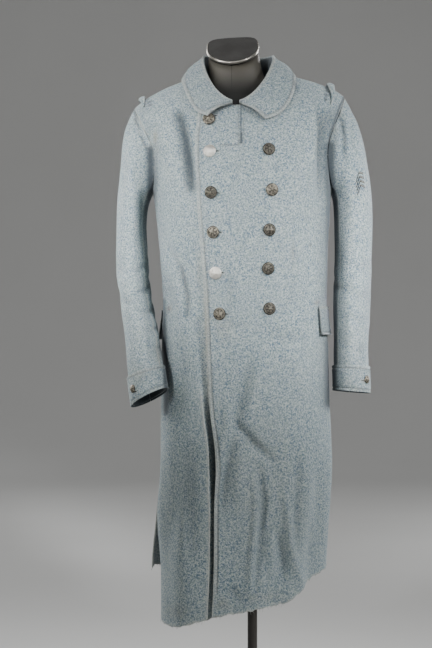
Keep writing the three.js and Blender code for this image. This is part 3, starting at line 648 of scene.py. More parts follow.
def make_wool(name, colours, scale=1.0):
    material, tree, shader = new_material(name)
    place = add_node(tree, "ShaderNodeTexCoord").outputs["Object"]
    speckle = add_node(
        tree, "ShaderNodeGroup", node_tree=WOOL_SPECKLE,
        inputs={"Vector": place, "Scale": scale, "Dark": (*colours["dark"], 1),
                "Middle": (*colours["middle"], 1), "Pale": (*colours["pale"], 1)},
    )
    fade = add_noise(tree, place, 7.0, 3.0)
    colour = mix_colour(tree, ramp(tree, fade.outputs["Fac"], [(0.35, (0, 0, 0)), (0.75, (0.3, 0.3, 0.3))]),
                        speckle.outputs["Color"], (0.3, 0.34, 0.34))
    wear_and_ridge_highlight = maths(tree, "MULTIPLY", attribute_value(tree, "rim"), 0.6)
    colour = mix_colour(tree, wear_and_ridge_highlight, colour, (0.5, 0.49, 0.43))
    colour = mix_colour(tree, attribute_value(tree, "soil"), colour, (0.21, 0.18, 0.12))
    colour = mix_colour(tree, attribute_value(tree, "rust"), colour, (0.17, 0.085, 0.04))
    colour = mix_colour(tree, attribute_value(tree, "shade"), colour, (0.045, 0.055, 0.065))
    tree.links.new(colour, shader.inputs["Base Color"])
    rough = ramp(tree, fade.outputs["Fac"], [(0.2, (0.86, 0.86, 0.86)), (0.8, (0.97, 0.97, 0.97))])
    tree.links.new(rough, shader.inputs["Roughness"])
    add_bump(tree, shader, speckle.outputs["Height"], 0.55, 0.0011)
    shader.inputs["Specular IOR Level"].default_value = 0.18
    shader.inputs["Sheen Weight"].default_value = 0.2
    shader.inputs["Sheen Roughness"].default_value = 0.55
    shader.inputs["Sheen Tint"].default_value = (0.72, 0.8, 0.86, 1)
    return material


wool = make_wool("blue_wool_cloth", WOOL)
print("material", wool.name)

# %% [markdown]
# Old cloth is never one colour. The tables below place the stains and faded marks that show in the picture,
# and a few spots of painted shade of the kind shade: place and half sizes in picture units, then strength and
# kind. The back gets a few mild ones of its own. The last table paints shade into deep places. It stays on
# the cloth whatever the light, which is its drawback.

# %% Stains, marks and painted shade
STAINS_AND_SHADE = [
    # u, v, half width, half height, strength, kind
    (155.8, 138, 2.4, 8.0, 0.5, "soil"),
    (158, 150, 3.0, 5.0, 0.22, "soil"),
    (169, 309, 3.0, 3.0, 0.45, "rust"),
    (317, 302, 2.6, 2.0, 0.4, "rust"),
    (293, 252, 1.6, 8.0, 0.3, "soil"),
    (206, 330, 3.2, 40.0, 0.35, "soil"),
    (208, 392, 2.6, 26.0, 0.28, "soil"),
    (199, 270, 2.4, 16.0, 0.2, "soil"),
    (224, 328, 9.0, 12.0, 0.2, "soil"),
    (160, 352, 4.0, 12.0, 0.3, "soil"),
    (140, 376, 7.0, 8.0, 0.18, "soil"),
    (347, 384, 8.0, 4.0, 0.16, "soil"),
    (222, 604, 8.0, 6.0, 0.28, "soil"),
    (176, 612, 12.0, 8.0, 0.2, "soil"),
    (262, 598, 20.0, 7.0, 0.18, "soil"),
    (262, 480, 30.0, 60.0, 0.1, "soil"),
    # The entries of kind shade are painted shade: small dark spots and hollows where little light reaches.
    (310.6, 245.4, 1.1, 1.5, 0.95, "shade"),
    (197, 183, 1.0, 1.2, 0.6, "shade"),
    (240, 402, 3.4, 16.0, 0.14, "shade"),
    (253, 444, 10.0, 4.0, 0.12, "shade"),
    (262, 505, 3.0, 22.0, 0.12, "shade"),
]
BACK_STAINS = [
    (-30, 300, 10.0, 16.0, 0.16, "soil"),
    (20, 520, 26.0, 10.0, 0.2, "soil"),
    (-60, 505, 12.0, 14.0, 0.2, "soil"),
    (44, 210, 6.0, 9.0, 0.14, "soil"),
]
KINDS = ("soil", "rust", "shade")


# Stains, rust and the painted shade of the table above, as one value of each kind for each point.
def stain_and_shade_values(points, facing_front):
    values = {kind: np.zeros(len(points)) for kind in KINDS}
    ragged = 1 + 0.35 * np.array([noise.noise(Vector(p) / (9 * MM)) for p in points])
    for where, table, side in (
        (in_picture(points), STAINS_AND_SHADE, facing_front),
        (from_behind(points), BACK_STAINS, 1 - facing_front),
    ):
        for u, v, wide, high, strength, kind in table:
            away = np.hypot((where[:, 0] - u) / wide, (where[:, 1] - v) / high) * ragged
            mark = strength * side * np.exp(-(away**2))
            values[kind] = np.maximum(values[kind], mark)
    return values


# Deep places that little light reaches: name, half width, strength and line, as for the creases.
SHADOWS = [
    ("viewer's left side, above", 4.6, 0.95, [(150, 150), (150.5, 180), (152, 208)]),
    ("viewer's left side, middle", 3.6, 0.85, [(153, 204), (156, 250), (160.5, 296)]),
    ("viewer's left side, below", 3.2, 0.94, [(162.5, 300), (165.0, 340), (166, 380), (166, 412)]),
    ("viewer's right side, above", 6.2, 0.96, [(330, 146), (330.5, 180), (330.5, 240), (330, 296)]),
    ("viewer's right side, flap", 3.4, 0.96, [(331, 296), (331.5, 336)]),
    ("viewer's right side, below", 7.6, 0.96, [(330.5, 344), (330.5, 402)]),
    ("viewer's right side, soft", 11.0, 0.4, [(328, 120), (330, 200), (330, 290), (331, 400)]),
    ("viewer's left side, soft", 6.0, 0.25, [(153, 150), (155, 220), (163, 310), (169, 412)]),
    ("neck slit", 0.8, 0.75, [(241, 101), (241, 118), (241, 134)]),
    ("neck slit, open", 1.2, 0.97, [(241.2, 133), (241.2, 143.5)]),
    ("recess of the roll, viewer's right", 1.2, 0.92, [(325.6, 84), (326.6, 93), (325.4, 100)]),
    ("recess of the roll, viewer's left", 1.2, 0.85, [(146, 96.5), (149, 100), (150, 106)]),
    ("beside the collar end", 1.4, 0.45, [(293.5, 82), (297, 91)]),
    ("hollow beside the front edge", 5.8, 0.62, [(179, 116), (184, 140), (187.5, 166), (190, 186)]),
    ("deepest beside the front edge", 3.2, 0.64, [(186, 152), (189.5, 168), (190.5, 182)]),
    ("waist crease", 2.6, 0.4, [(181, 268), (185, 284), (187, 300), (186.5, 314)]),
    ("under the collar, left", 3.0, 0.42, [(212, 114), (222, 106), (232, 101)]),
    ("under the collar, right", 3.4, 0.4, [(244, 106), (252, 112), (262, 119)]),
    ("beside the front edge, hip", 2.6, 0.3, [(198, 318), (201, 350), (204, 384)]),
    ("armhole, viewer's left", 1.1, 0.75, [(134, 110), (137, 124), (142, 138), (147, 150)]),
    ("armhole, viewer's right", 1.2, 0.85, [(344, 97), (339, 108), (334, 122), (330, 134), (328.6, 144)]),
    ("pleat at the sleeve head", 1.2, 0.5, [(337.5, 112), (341, 120), (342.6, 132)]),
    ("flap, viewer's right", 1.3, 0.8, [(318.6, 309), (320.5, 322), (322.6, 334)]),
]


def depth_of_shadow(points, normals):
    """Painted shade of the deep places, on cloth that faces the picture's side."""
    where = in_picture(points)
    facing = soft_step(-normals[:, 1], -0.2, 0.2)
    shade = np.zeros(len(points))
    for name, half_width, strength, line in SHADOWS:
        away, share = from_line(where, line)
        shade = np.maximum(shade, facing * strength * np.exp(-np.abs(away / half_width) ** 3))
    return shade


print("stains:", len(STAINS_AND_SHADE) + len(BACK_STAINS), "and shadows:", len(SHADOWS))

# %% [markdown]
# Sewing pulls a row of thread into the wool, and the cloth between the row and the edge stays puffed up.
# So the rows are known before a piece is finished: each is a line on the solid's rim, moved a few
# millimetres inwards as a machine's foot does, or a line drawn in the picture. The mesh is made finer
# near the row, and pressed in there. The thread itself is laid on the same path later.

# %% Paths of sewing
STITCH = {"pitch": 4.2 * MM, "length": 3.4 * MM, "width": 0.85 * MM, "high": 0.5 * MM}
PRESSED = {
    "depth": 1.25 * MM, "half_width": 1.9 * MM, "puff": 0.5 * MM, "puff_width": 2.6 * MM, "reach": 5 * MM,
}
sewn_paths = []


def evenly(points, gap):
    """Points along a line, each gap from the one before."""
    result = [points[0].copy()]
    carried = 0.0
    for a, b in zip(points, points[1:]):
        length = (b - a).length
        at = gap - carried
        while at <= length and length > 0:
            result.append(a.lerp(b, at / length))
            at += gap
        carried = length - (at - gap)
    return result


def inset_path(surface, line, inset, outside):
    """A line on a surface's outer face, moved inwards from its rim. outside gives the outward direction."""
    points = evenly(line, STITCH["pitch"] / 2)
    path = []
    for k, point in enumerate(points):
        along = (points[min(k + 3, len(points) - 1)] - points[max(k - 3, 0)]).normalized()
        out = Vector(outside(np.array([point]))[0])
        sideways = out.cross(along).normalized()
        best = None
        for sign in (1, -1):
            probe = point + sideways * sign * inset
            hit, normal, face, gap = surface.ray_cast(probe + out * 9 * MM, -out, 18 * MM)
            if hit is not None and normal.dot(out) > 0.2 and (best is None or gap < best[2]):
                best = (hit, normal, gap)
        if best is not None:
            path.append((best[0], best[1]))
    return path


def sight_path(surface, line):
    """A line drawn in the picture, laid on the surface that it shows on."""
    path = []
    flat = [Vector((u, v, 0)) for u, v in line]
    for point in evenly(flat, STITCH["pitch"] / PICTURE["scale"] / 2):
        hit, normal, face, gap = surface.ray_cast(EYE, line_of_sight(point.x, point.y))
        if hit is not None:
            path.append((hit, normal))
    return path


def extreme_line(node, order, reach, bins, jump):
    """Along a piece, the point of its solid that reaches furthest in each bin of an ordering value.

    A bin that holds no point of the edge falls short of its neighbours by more than jump, and is left out.
    """
    best = {}
    for vertex in frame["nodes"][node].data.vertices:
        at = order(vertex.co)
        if bins[0] <= at <= bins[1]:
            key = int((at - bins[0]) / bins[2])
            if key not in best or reach(vertex.co) > reach(best[key]):
                best[key] = vertex.co.copy()
    keys = sorted(best)
    reached = np.array([reach(best[key]) for key in keys])
    around = np.array([np.max(reached[max(k - 3, 0):k + 4]) for k in range(len(keys))])
    return [best[key] for key, short in zip(keys, around - reached) if short < jump]


def path_distance(bm, paths):
    points = [place for path in paths for place, normal in path]
    tree = KDTree(len(points))
    for i, co in enumerate(points):
        tree.insert(co, i)
    tree.balance()
    return np.array([tree.find(v.co)[2] for v in bm.verts])


def finer_near(bm, paths, reach, longest):
    for limit in (longest * 4, longest * 2, longest):
        away = path_distance(bm, paths)
        bm.verts.index_update()
        near = [
            e for e in bm.edges
            if e.calc_length() > limit and away[e.verts[0].index] < reach and away[e.verts[1].index] < reach
        ]
        bmesh.ops.subdivide_edges(bm, edges=near, cuts=1, use_grid_fill=True)


def press_rows(bm, paths, outside):
    """Presses the outer face in along each row, and puffs it up on both sides of the row."""
    bm.normal_update()
    away = path_distance(bm, paths)
    faces_out = (np.array([v.normal for v in bm.verts]) * outside(places(bm))).sum(1) > 0.35
    pressed = PRESSED["depth"] * np.exp(-((away / PRESSED["half_width"]) ** 2))
    puffed = PRESSED["puff"] * np.exp(-(((away - 3.4 * MM) / PRESSED["puff_width"]) ** 2))
    for vertex, step in zip(bm.verts, (puffed - pressed) * faces_out):
        vertex.co += vertex.normal * step


print("stitches are", STITCH["pitch"] / MM, "mm apart")

# %% Shade between the sleeves and the body
SIDE_GAP = {"near": 8 * MM, "far": 40 * MM, "most": 0.88, "from": 760 * MM, "to": 1290 * MM}


def surfaces_of(parts):
    return [BVHTree.FromBMesh(solid_copy(part)) for part in parts]


BODY_SURFACES = surfaces_of(("front_left", "front_right", "back_left", "back_right"))
SLEEVE_SURFACES = {
    side: surfaces_of(("upper_sleeve_" + side, "under_sleeve_" + side, "cuff_" + side))
    for side in ("left", "right")
}


def side_gap_shade(points, node, normals):
    """Little light reaches the cloth where a sleeve hangs close beside the body, so it is darker there."""
    sleeve = "sleeve" in node or node.startswith("cuff")
    shade = np.zeros(len(points))
    for side, sign in (("left", 1), ("right", -1)):
        if sleeve and not node.endswith(side):
            continue
        others = BODY_SURFACES if sleeve else SLEEVE_SURFACES[side]
        faces_gap = soft_step(normals[:, 0] * (-sign if sleeve else sign), 0.9 if sleeve else 0.75, 0.99)
        in_reach = (points[:, 2] > SIDE_GAP["from"]) & (points[:, 2] < SIDE_GAP["to"]) & (faces_gap > 0.02)
        for i in np.nonzero(in_reach)[0]:
            gaps = [tree.find_nearest(Vector(points[i]), SIDE_GAP["far"])[3] for tree in others]
            gap = min((g for g in gaps if g is not None), default=SIDE_GAP["far"])
            close = 1 - soft_step(np.array([gap]), SIDE_GAP["near"], SIDE_GAP["far"])[0]
            shade[i] = max(shade[i], SIDE_GAP["most"] * close * faces_gap[i])
    return shade * (1 - soft_step(points[:, 2], SIDE_GAP["to"] - 0.06, SIDE_GAP["to"]))


print("surfaces beside the gaps:", len(BODY_SURFACES) + 6)

# %% Painted shade of creases and of the inside, and a painted highlight on ridges
TROUGH_SHADE = 0.05
BAND_WEAR = 0.5
ROW_SHADE = 0.6
HEMMED = ("front_left", "front_right", "back_left", "back_right")
RAGGED = {"size": 9 * MM, "height": 4.5 * MM}
RIDGE_WEAR_AND_HIGHLIGHT = 0.012
INSIDE_SHADE = 0.96


def creases_at(points, node):
    for side in ("left", "right"):
        if node in ("upper_sleeve_" + side, "under_sleeve_" + side, "cuff_" + side):
            return sleeve_creases(points, side)
    return body_creases(points)


def band_points(line):
    """Points 2 mm apart along a line, to measure how near a place is to it."""
    return [tuple(p) for p in close_spaced([Vector(p) for p in line], 2 * MM)]


def faces_inside(points, normals, outside):
    """1 on the inner face of a wall, which only stray light reaches. The open tail stays lighter."""
    inward = -(normals * outside(points)).sum(1)
    where = in_picture(points)
    tail = (1 - soft_step(where[:, 0], 160, 172)) * soft_step(where[:, 1], 440, 480)
    return soft_step(inward, 0.1, 0.6) * (1 - 0.75 * tail)


# %% Cloth piece maker
def cloth_piece(
    node, shift, levels=2, longest=8.5 * MM, rim_reach=5 * MM, thickness=2.4 * MM,
    outside=outwards_of_body, rows=(),
):
    """rows holds (kind, line, inset, stitched): kind is rim or sight, and a sight line has no inset."""
    bm = solid_copy(node)
    loops = rim_loops(bm, thickness)
    rims[node] = loops
    bmesh.ops.bevel(
        bm, geom=sharp_edges(bm), offset=RIM_ROUND, offset_type="OFFSET", segments=2,
        profile=0.5, affect="EDGES", material=-1, clamp_overlap=True,
    )
    bm = subdivided(bm, levels)
    cut_long_edges(bm, longest)
    paths = []
    surface = BVHTree.FromBMesh(bm)
    for kind, line, inset, stitched in rows:
        line = line(loops) if callable(line) else line
        path = inset_path(surface, line, inset, outside) if kind == "rim" else sight_path(surface, line)
        if len(path) > 2:
            paths.append(path)
            if stitched:
                steps = shift(np.array([place for place, normal in path]))
                sewn_paths.append(
                    (node, [(place + Vector(step) - normal * 0.5 * PRESSED["depth"], normal)
                            for (place, normal), step in zip(path, steps)])
                )
    if paths:
        finer_near(bm, paths, PRESSED["reach"], 1.35 * MM)
    before = places(bm)
    bm.normal_update()
    normals = np.array([v.normal for v in bm.verts])
    wear_and_ridge_highlight = nearness(before, [p for loop in loops for p in close_spaced(loop, 2 * MM)], rim_reach) ** 1.5
    wear_and_ridge_highlight *= at_armholes(before, 3 * MM, 12 * MM)
    for kind, line, inset, stitched in rows:
        if kind == "rim":
            band = np.array([p[:] for p in (line(loops) if callable(line) else line)])
            edge = nearness(before, [Vector(p) for p in band_points(band)], inset * 1.25)
            wear_and_ridge_highlight = np.maximum(wear_and_ridge_highlight, BAND_WEAR * soft_step(edge, 0.05, 0.3))
    wear_and_ridge_highlight *= 0.45 if node.startswith("cuff") else 1.0
    if paths:
        row_shade = np.exp(-((path_distance(bm, paths) / (1.3 * MM)) ** 2))
        press_rows(bm, paths, outside)
    else:
        row_shade = np.zeros(len(before))
    steps = shift(before)
    if node in HEMMED:
        low = 1 - soft_step(before[:, 2], 0.5, 0.56)
        torn = np.array([noise.noise(Vector(p) / RAGGED["size"]) for p in before])
        steps[:, 2] += RAGGED["height"] * torn * low * np.clip(wear_and_ridge_highlight * 1.5, 0, 1)
    move_all(bm, steps)
    front = soft_step(-outwards_of_body(before)[:, 1], 0.0, 0.2)
    marks = stain_and_shade_values(before, front)
    marks["shade"] = np.maximum(marks["shade"], ROW_SHADE * row_shade)
    marks["shade"] = np.maximum(marks["shade"], side_gap_shade(before, node, normals))
    creases = creases_at(before, node)
    marks["shade"] = np.maximum(marks["shade"], depth_of_shadow(before, normals))
    marks["shade"] = np.clip(marks["shade"] + TROUGH_SHADE * np.clip(-creases / MM, 0, 7), 0, 0.97)
    # Crease ridges get paler: partly wear, partly a painted highlight that makes the creases show.
    wear_and_ridge_highlight = np.maximum(wear_and_ridge_highlight, RIDGE_WEAR_AND_HIGHLIGHT * np.clip(creases / MM, 0, 6))
    marks["shade"] = np.maximum(marks["shade"], INSIDE_SHADE * faces_inside(before, normals, outside))
    piece = finish_piece(bm, node + "_cloth", wool)
    store(piece, "rim", wear_and_ridge_highlight)
    for kind in KINDS:
        store(piece, kind, marks[kind])
    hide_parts(node)
    pieces[node] = piece
    return piece


def triangles(piece):
    return sum(len(p.vertices) - 2 for p in piece.data.polygons)


# %% Sewn rows of the body and collar
def in_view_left(co):
    return -in_picture([co])[0][0]


COLLAR_MIDDLE = Vector((-29 * MM, -16 * MM, 0))


def round_collar(co):
    return math.degrees(math.atan2(co.x - COLLAR_MIDDLE.x, -(co.y - COLLAR_MIDDLE.y)))


def from_neck(co):
    return math.hypot(co.x - COLLAR_MIDDLE.x, co.y - COLLAR_MIDDLE.y)


front_edge = extreme_line("front_left", lambda co: co.z, in_view_left, (0.345, 1.33, 0.02), 7.0)
FRONT_LEFT_ROWS = [
    ("rim", front_edge, 7.5 * MM, True),
    ("sight", [(238.6, 103), (238.6, 124), (238.8, 143)], 0, True),
    ("sight", [(243.4, 106), (243.4, 124), (243.2, 143)], 0, True),
    ("sight", [(221, 144.6), (230, 144.8), (239.8, 144.4)], 0, True),
    ("sight", [(241.0, 101), (241.0, 118), (241.0, 134)], 0, False),
]
COLLAR_ROWS = [
    ("rim", extreme_line("collar", round_collar, from_neck, (-176, -9, 6), 22 * MM), 6.5 * MM, True),
    ("rim", extreme_line("collar", round_collar, from_neck, (9, 176, 6), 22 * MM), 6.5 * MM, True),
]
print("front edge of", len(front_edge), "points")

# %% Body and collar
made = cloth_piece("front_left", body_shift, rows=FRONT_LEFT_ROWS)
print("front_left", triangles(made), "triangles")
made = cloth_piece("front_right", under_layer_shift)
print("front_right", triangles(made), "triangles")
for node in ("back_left", "back_right"):
    made = cloth_piece(node, body_shift)
    print(node, triangles(made), "triangles")


def collar_shift(points):
    return body_shift(points) * 0.7


made = cloth_piece(
    "collar", collar_shift, longest=6 * MM, rim_reach=6 * MM, thickness=3.2 * MM, rows=COLLAR_ROWS
)
print("collar", triangles(made), "triangles")

# %% Sleeves, cuffs, shoulder rolls and pocket flaps
def outer_rim(loops, outside):
    """Of a wall's two rim loops, the one on its outer face."""
    longest = sorted(loops, key=len)[-2:]
    reach = []
    for loop in longest:
        points = np.array([p[:] for p in loop])
        reach.append((points * outside(points)).sum(1).mean())
    return longest[int(np.argmax(reach))]


for side in ("left", "right"):
    out_of_sleeve = lambda points, side=side: outwards_of_sleeve(points, side)
    shift_sleeve = lambda points, side=side: sleeve_shift(points, side)
    for part in ("upper_sleeve_", "under_sleeve_"):
        made = cloth_piece(part + side, shift_sleeve, longest=7 * MM, outside=out_of_sleeve)
        print(part + side, triangles(made), "triangles")
    cuff_rows = [("rim", lambda loops: outer_rim(loops, out_of_sleeve), 6 * MM, True)]
    made = cloth_piece("cuff_" + side, shift_sleeve, longest=6 * MM, outside=out_of_sleeve, rows=cuff_rows)
    print("cuff_" + side, triangles(made), "triangles")
    made = cloth_piece("shoulder_roll_" + side, body_shift, longest=5 * MM)
    flap_rows = [("rim", lambda loops: outer_rim(loops, outwards_of_body), 5 * MM, True)]
    made = cloth_piece("pocket_flap_" + side, body_shift, longest=5 * MM, rows=flap_rows)
    print("pocket_flap_" + side, triangles(made), "triangles")

# %% [markdown]
# The buttons are stamped brass shells on shanks, some plated. A lathe shape is the natural way: a
# profile is spun once round, and then the dome gets a low relief by moving its points. The relief is a
# plain rosette in a raised ring, since no badge is copied. Each button stands where its solid stands,
# moved with the cloth.

# %% Metal materials
def make_metal(name, bright, dull, roughness, patina):
    material, tree, shader = new_material(name)
    place = add_node(tree, "ShaderNodeTexCoord").outputs["Object"]
    spots = add_noise(tree, place, 170.0, 3.0, 0.55)
    tarnish = ramp(tree, spots.outputs["Fac"], [(patina - 0.08, (0, 0, 0)), (patina + 0.1, (1, 1, 1))])
    raised = attribute_value(tree, "raised")
    grime = add_node(
        tree, "ShaderNodeMath", operation="SUBTRACT", use_clamp=True, inputs={0: tarnish, 1: raised}
    ).outputs[0]
    colour = mix_colour(tree, grime, bright, dull)
    tree.links.new(colour, shader.inputs["Base Color"])
    add_roughness(tree, shader, grime, (0.0, roughness), (1.0, 0.8))
    tree.links.new(ramp(tree, grime, [(0.0, (0.9,) * 3), (1.0, (0.25,) * 3)]), shader.inputs["Metallic"])
    scratches = add_noise(tree, place, 1400.0, 2.0)
    add_bump(tree, shader, scratches.outputs["Fac"], 0.3, 0.0003)
    return material


METALS = {
    "bronze": make_metal("aged_bronze_metal", (0.33, 0.3, 0.235), (0.04, 0.036, 0.03), 0.3, 0.42),
    "dark": make_metal("dark_bronze_metal", (0.19, 0.175, 0.14), (0.028, 0.026, 0.022), 0.32, 0.4),
    "white": make_metal("white_metal_plate", (0.74, 0.72, 0.66), (0.4, 0.38, 0.32), 0.5, 0.6),
}
print("metals:", len(METALS))

# %% Buttons
BUTTON_PROFILE = [
    # share of the radius, height in millimetres above the foot of the shank
    (0.0, 0.0), (0.3, 0.0), (0.34, 0.3), (0.3, 2.4), (0.86, 2.6), (0.97, 2.8), (1.0, 3.3), (0.985, 3.9),
    (0.93, 4.25),
    (0.88, 4.35), (0.84, 4.9), (0.8, 5.35), (0.75, 5.6), (0.7, 5.85), (0.6, 6.7), (0.5, 7.4), (0.4, 7.95),
    (0.3, 8.4), (0.2, 8.75), (0.1, 8.95), (0.0, 9.0),
]
BUTTON_HEIGHT = 9.0
BUTTON_STEPS = 40
RELIEF = {
    "ring": 0.79, "ring_width": 0.05, "petals": 6, "petal_middle": 0.45, "petal_width": 0.2,
    "height": 0.42 * MM,
}


def thin_axis(node):
    """Foot, outward axis, radius and height of a round solid, from the spread of its points."""
    points = places(frame["nodes"][node].data)
    middle = (points.min(0) + points.max(0)) / 2
    spread = points - points.mean(0)
    axis = np.linalg.eigh(spread.T @ spread)[1][:, 0]
    if node.startswith("cuff"):
        side = "left" if node.endswith("left") else "right"
        rough = outwards_of_sleeve(middle[None], side)[0]
    else:
        rough = outwards_of_body(middle[None])[0]
    axis = axis if axis @ rough > 0 else -axis
    along = spread @ axis
    across = np.linalg.norm(spread - along[:, None] * axis, axis=1)
    foot = points.mean(0) + axis * along.min()
    return Vector(foot), Vector(axis), across.max(), along.max() - along.min()


def make_button(node, metal, shift, turn):
    foot, axis, radius, height = thin_axis(node)
    bm = bmesh.new()
    verts = [bm.verts.new((share * radius, 0, z / BUTTON_HEIGHT * height)) for share, z in BUTTON_PROFILE]
    edges = [bm.edges.new(pair) for pair in zip(verts, verts[1:])]
    bmesh.ops.spin(
        bm, geom=verts + edges, cent=(0, 0, 0), axis=(0, 0, 1), angle=2 * math.pi, steps=BUTTON_STEPS,
        use_merge=True,
    )
    bmesh.ops.remove_doubles(bm, verts=bm.verts, dist=0.01 * MM)
    bmesh.ops.recalc_face_normals(bm, faces=bm.faces)
    raised = []
    for vertex in bm.verts:
        r = math.hypot(vertex.co.x, vertex.co.y) / radius
        angle = math.atan2(vertex.co.y, vertex.co.x) + turn
        on_dome = vertex.co.z > height * 0.5
        petal = 0.5 + 0.5 * math.cos(RELIEF["petals"] * angle)
        lift = math.exp(-(((r - RELIEF["petal_middle"]) / RELIEF["petal_width"]) ** 2)) * petal
        lift += 0.9 * math.exp(-(((r - RELIEF["ring"]) / RELIEF["ring_width"]) ** 2))
        lift += 0.9 * math.exp(-((r / 0.12) ** 2))
        raised.append(min(1.0, lift) if on_dome else 0.0)
        if on_dome:
            vertex.co.z += RELIEF["height"] * (radius / (12.5 * MM)) * lift
    along = axis.to_track_quat("Z", "Y").to_matrix().to_4x4()
    step = Vector(shift(np.array([foot]))[0])
    bmesh.ops.transform(bm, matrix=Matrix.Translation(foot + step) @ along, verts=bm.verts)
    piece = finish_piece(bm, node + "_metal", METALS[metal], math.radians(60))
    store(piece, "raised", np.array(raised) * 0.75)
    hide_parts(node)
    pieces[node] = piece
    return piece


BUTTONS = [
    # node, metal, turn of the relief
    ("button_right_1", "bronze", 0.3), ("button_right_2", "white", 0.9), ("button_right_3", "dark", 0.1),
    ("button_right_4", "bronze", 0.5), ("button_right_5", "white", 0.2), ("button_right_6", "bronze", 0.7),
    ("button_left_2", "dark", 0.4), ("button_left_3", "bronze", 0.8), ("button_left_4", "dark", 0.0),
    ("button_left_5", "dark", 0.6), ("button_left_6", "dark", 0.2),
]
for node, metal, turn in BUTTONS:
    made = make_button(node, metal, body_shift, turn)
for side in ("left", "right"):
    shift_button = lambda points, side=side: sleeve_shift(points, side)
    made = make_button("cuff_button_" + side, "bronze", shift_button, 0.4)
print("buttons:", len(BUTTONS) + 2, "with", triangles(made), "triangles each")

# %% [markdown]
# The dress form is a smooth dark shell. Its solids have the right shape but show their facets, so each
# is copied and rounded. The neck cap keeps its crisp lower edge with a fine bevel. The stand's pole and
# base are turned shapes, and are spun afresh at the sizes of their solids.

# %% Form and stand materials
def make_paint(name, colour, second, roughness, scale, edge=None, seam=None):
    """A satin paint. edge is the look where the edge attribute is 1: on the cap its metal rim, on the bust
    painted shade of the lower neck. seam is the x of a parting line.
    """
    material, tree, shader = new_material(name)
    place = add_node(tree, "ShaderNodeTexCoord").outputs["Object"]
    cloud = add_noise(tree, place, scale, 5.0, 0.6)
    grain = add_noise(tree, place, 900.0, 2.0)
    painted = mix_colour(tree, cloud.outputs["Fac"], colour, second)
    rough = ramp(tree, cloud.outputs["Fac"], [(0.3, (roughness - 0.06,) * 3), (0.7, (roughness + 0.1,) * 3)])
    if edge is not None:
        marked = attribute_value(tree, "edge")
        painted = mix_colour(tree, marked, painted, edge["colour"])
        rough = mix_colour(tree, marked, rough, (edge["roughness"],) * 3)
        metal = maths(tree, "MULTIPLY", marked, edge["metallic"])
        tree.links.new(metal, shader.inputs["Metallic"])
    if seam is not None:
        x = add_node(tree, "ShaderNodeSeparateXYZ", inputs={0: place}).outputs["X"]
        from_seam = maths(tree, "ABSOLUTE", maths(tree, "SUBTRACT", x, seam))
        on_seam = maths(tree, "LESS_THAN", from_seam, 0.7 * MM)
        painted = mix_colour(tree, maths(tree, "MULTIPLY", on_seam, 0.6), painted, (0.008, 0.008, 0.007))
    tree.links.new(painted, shader.inputs["Base Color"])
    tree.links.new(rough, shader.inputs["Roughness"])
    add_bump(tree, shader, grain.outputs["Fac"], 0.12, 0.0004)
    return material


# The graphite's near-black edge look is painted shade, for the lower neck in the collar's shadow.
graphite = make_paint(
    "form_graphite_shell", (0.07, 0.064, 0.052), (0.11, 0.1, 0.082), 0.44, 18.0,
    edge={"colour": (0.006, 0.006, 0.005), "roughness": 0.85, "metallic": 0.0}, seam=-43 * MM,
)
cap_paint = make_paint(
    "form_cap_top", (0.012, 0.011, 0.009), (0.02, 0.018, 0.015), 0.72, 30.0,
    edge={"colour": (0.55, 0.52, 0.46), "roughness": 0.3, "metallic": 0.9},
)
stand_paint = make_paint("stand_dark_paint", (0.03, 0.027, 0.023), (0.05, 0.045, 0.038), 0.42, 25.0)
print("form and stand materials made")

# %% Form
def smooth_copy(node, name, material, levels=2, bevel=None):
    bm = solid_copy(node)
    if bevel:
        bmesh.ops.bevel(
            bm, geom=sharp_edges(bm, math.radians(25)), offset=bevel, offset_type="OFFSET", segments=3,
            profile=0.5, affect="EDGES", material=-1, clamp_overlap=True,
        )
    bm = subdivided(bm, levels)
    piece = finish_piece(bm, name, material)
    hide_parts(node)
    pieces[node] = piece
    return piece


made = smooth_copy("form_bust", "form_bust_shell", graphite)
bust_points = places(made.data)
# Painted shade: the edge attribute is 1 on the neck below the collar and fades out upwards.
store(made, "edge", 1 - soft_step(bust_points[:, 2], 1.365, 1.425))
print("bust", triangles(made), "triangles")
made = smooth_copy(
    "form_neck_cap", "form_neck_cap_shell", cap_paint, levels=2, bevel=0.6 * MM
)
cap_normals = np.array([v.normal for v in made.data.vertices])
face_up = cap_normals[cap_normals[:, 2] > 0.6].mean(0)
face_up /= np.linalg.norm(face_up)
from_top = cap_normals @ face_up
side_on = soft_step(1 - from_top, 0.08, 0.3) * soft_step(from_top, -0.7, -0.3)
store(made, "edge", side_on)
print("cap", triangles(made), "triangles,", int(side_on.sum()), "points on its edge")

# %% Stand
def turned(name, profile, steps, material):
    bm = bmesh.new()
    verts = [bm.verts.new((r, 0, z)) for r, z in profile]
    edges = [bm.edges.new(pair) for pair in zip(verts, verts[1:])]
    bmesh.ops.spin(
        bm, geom=verts + edges, cent=(0, 0, 0), axis=(0, 0, 1), angle=2 * math.pi, steps=steps, use_merge=True
    )
    bmesh.ops.remove_doubles(bm, verts=bm.verts, dist=0.01 * MM)
    bmesh.ops.recalc_face_normals(bm, faces=bm.faces)
    return finish_piece(bm, name, material, math.radians(40))


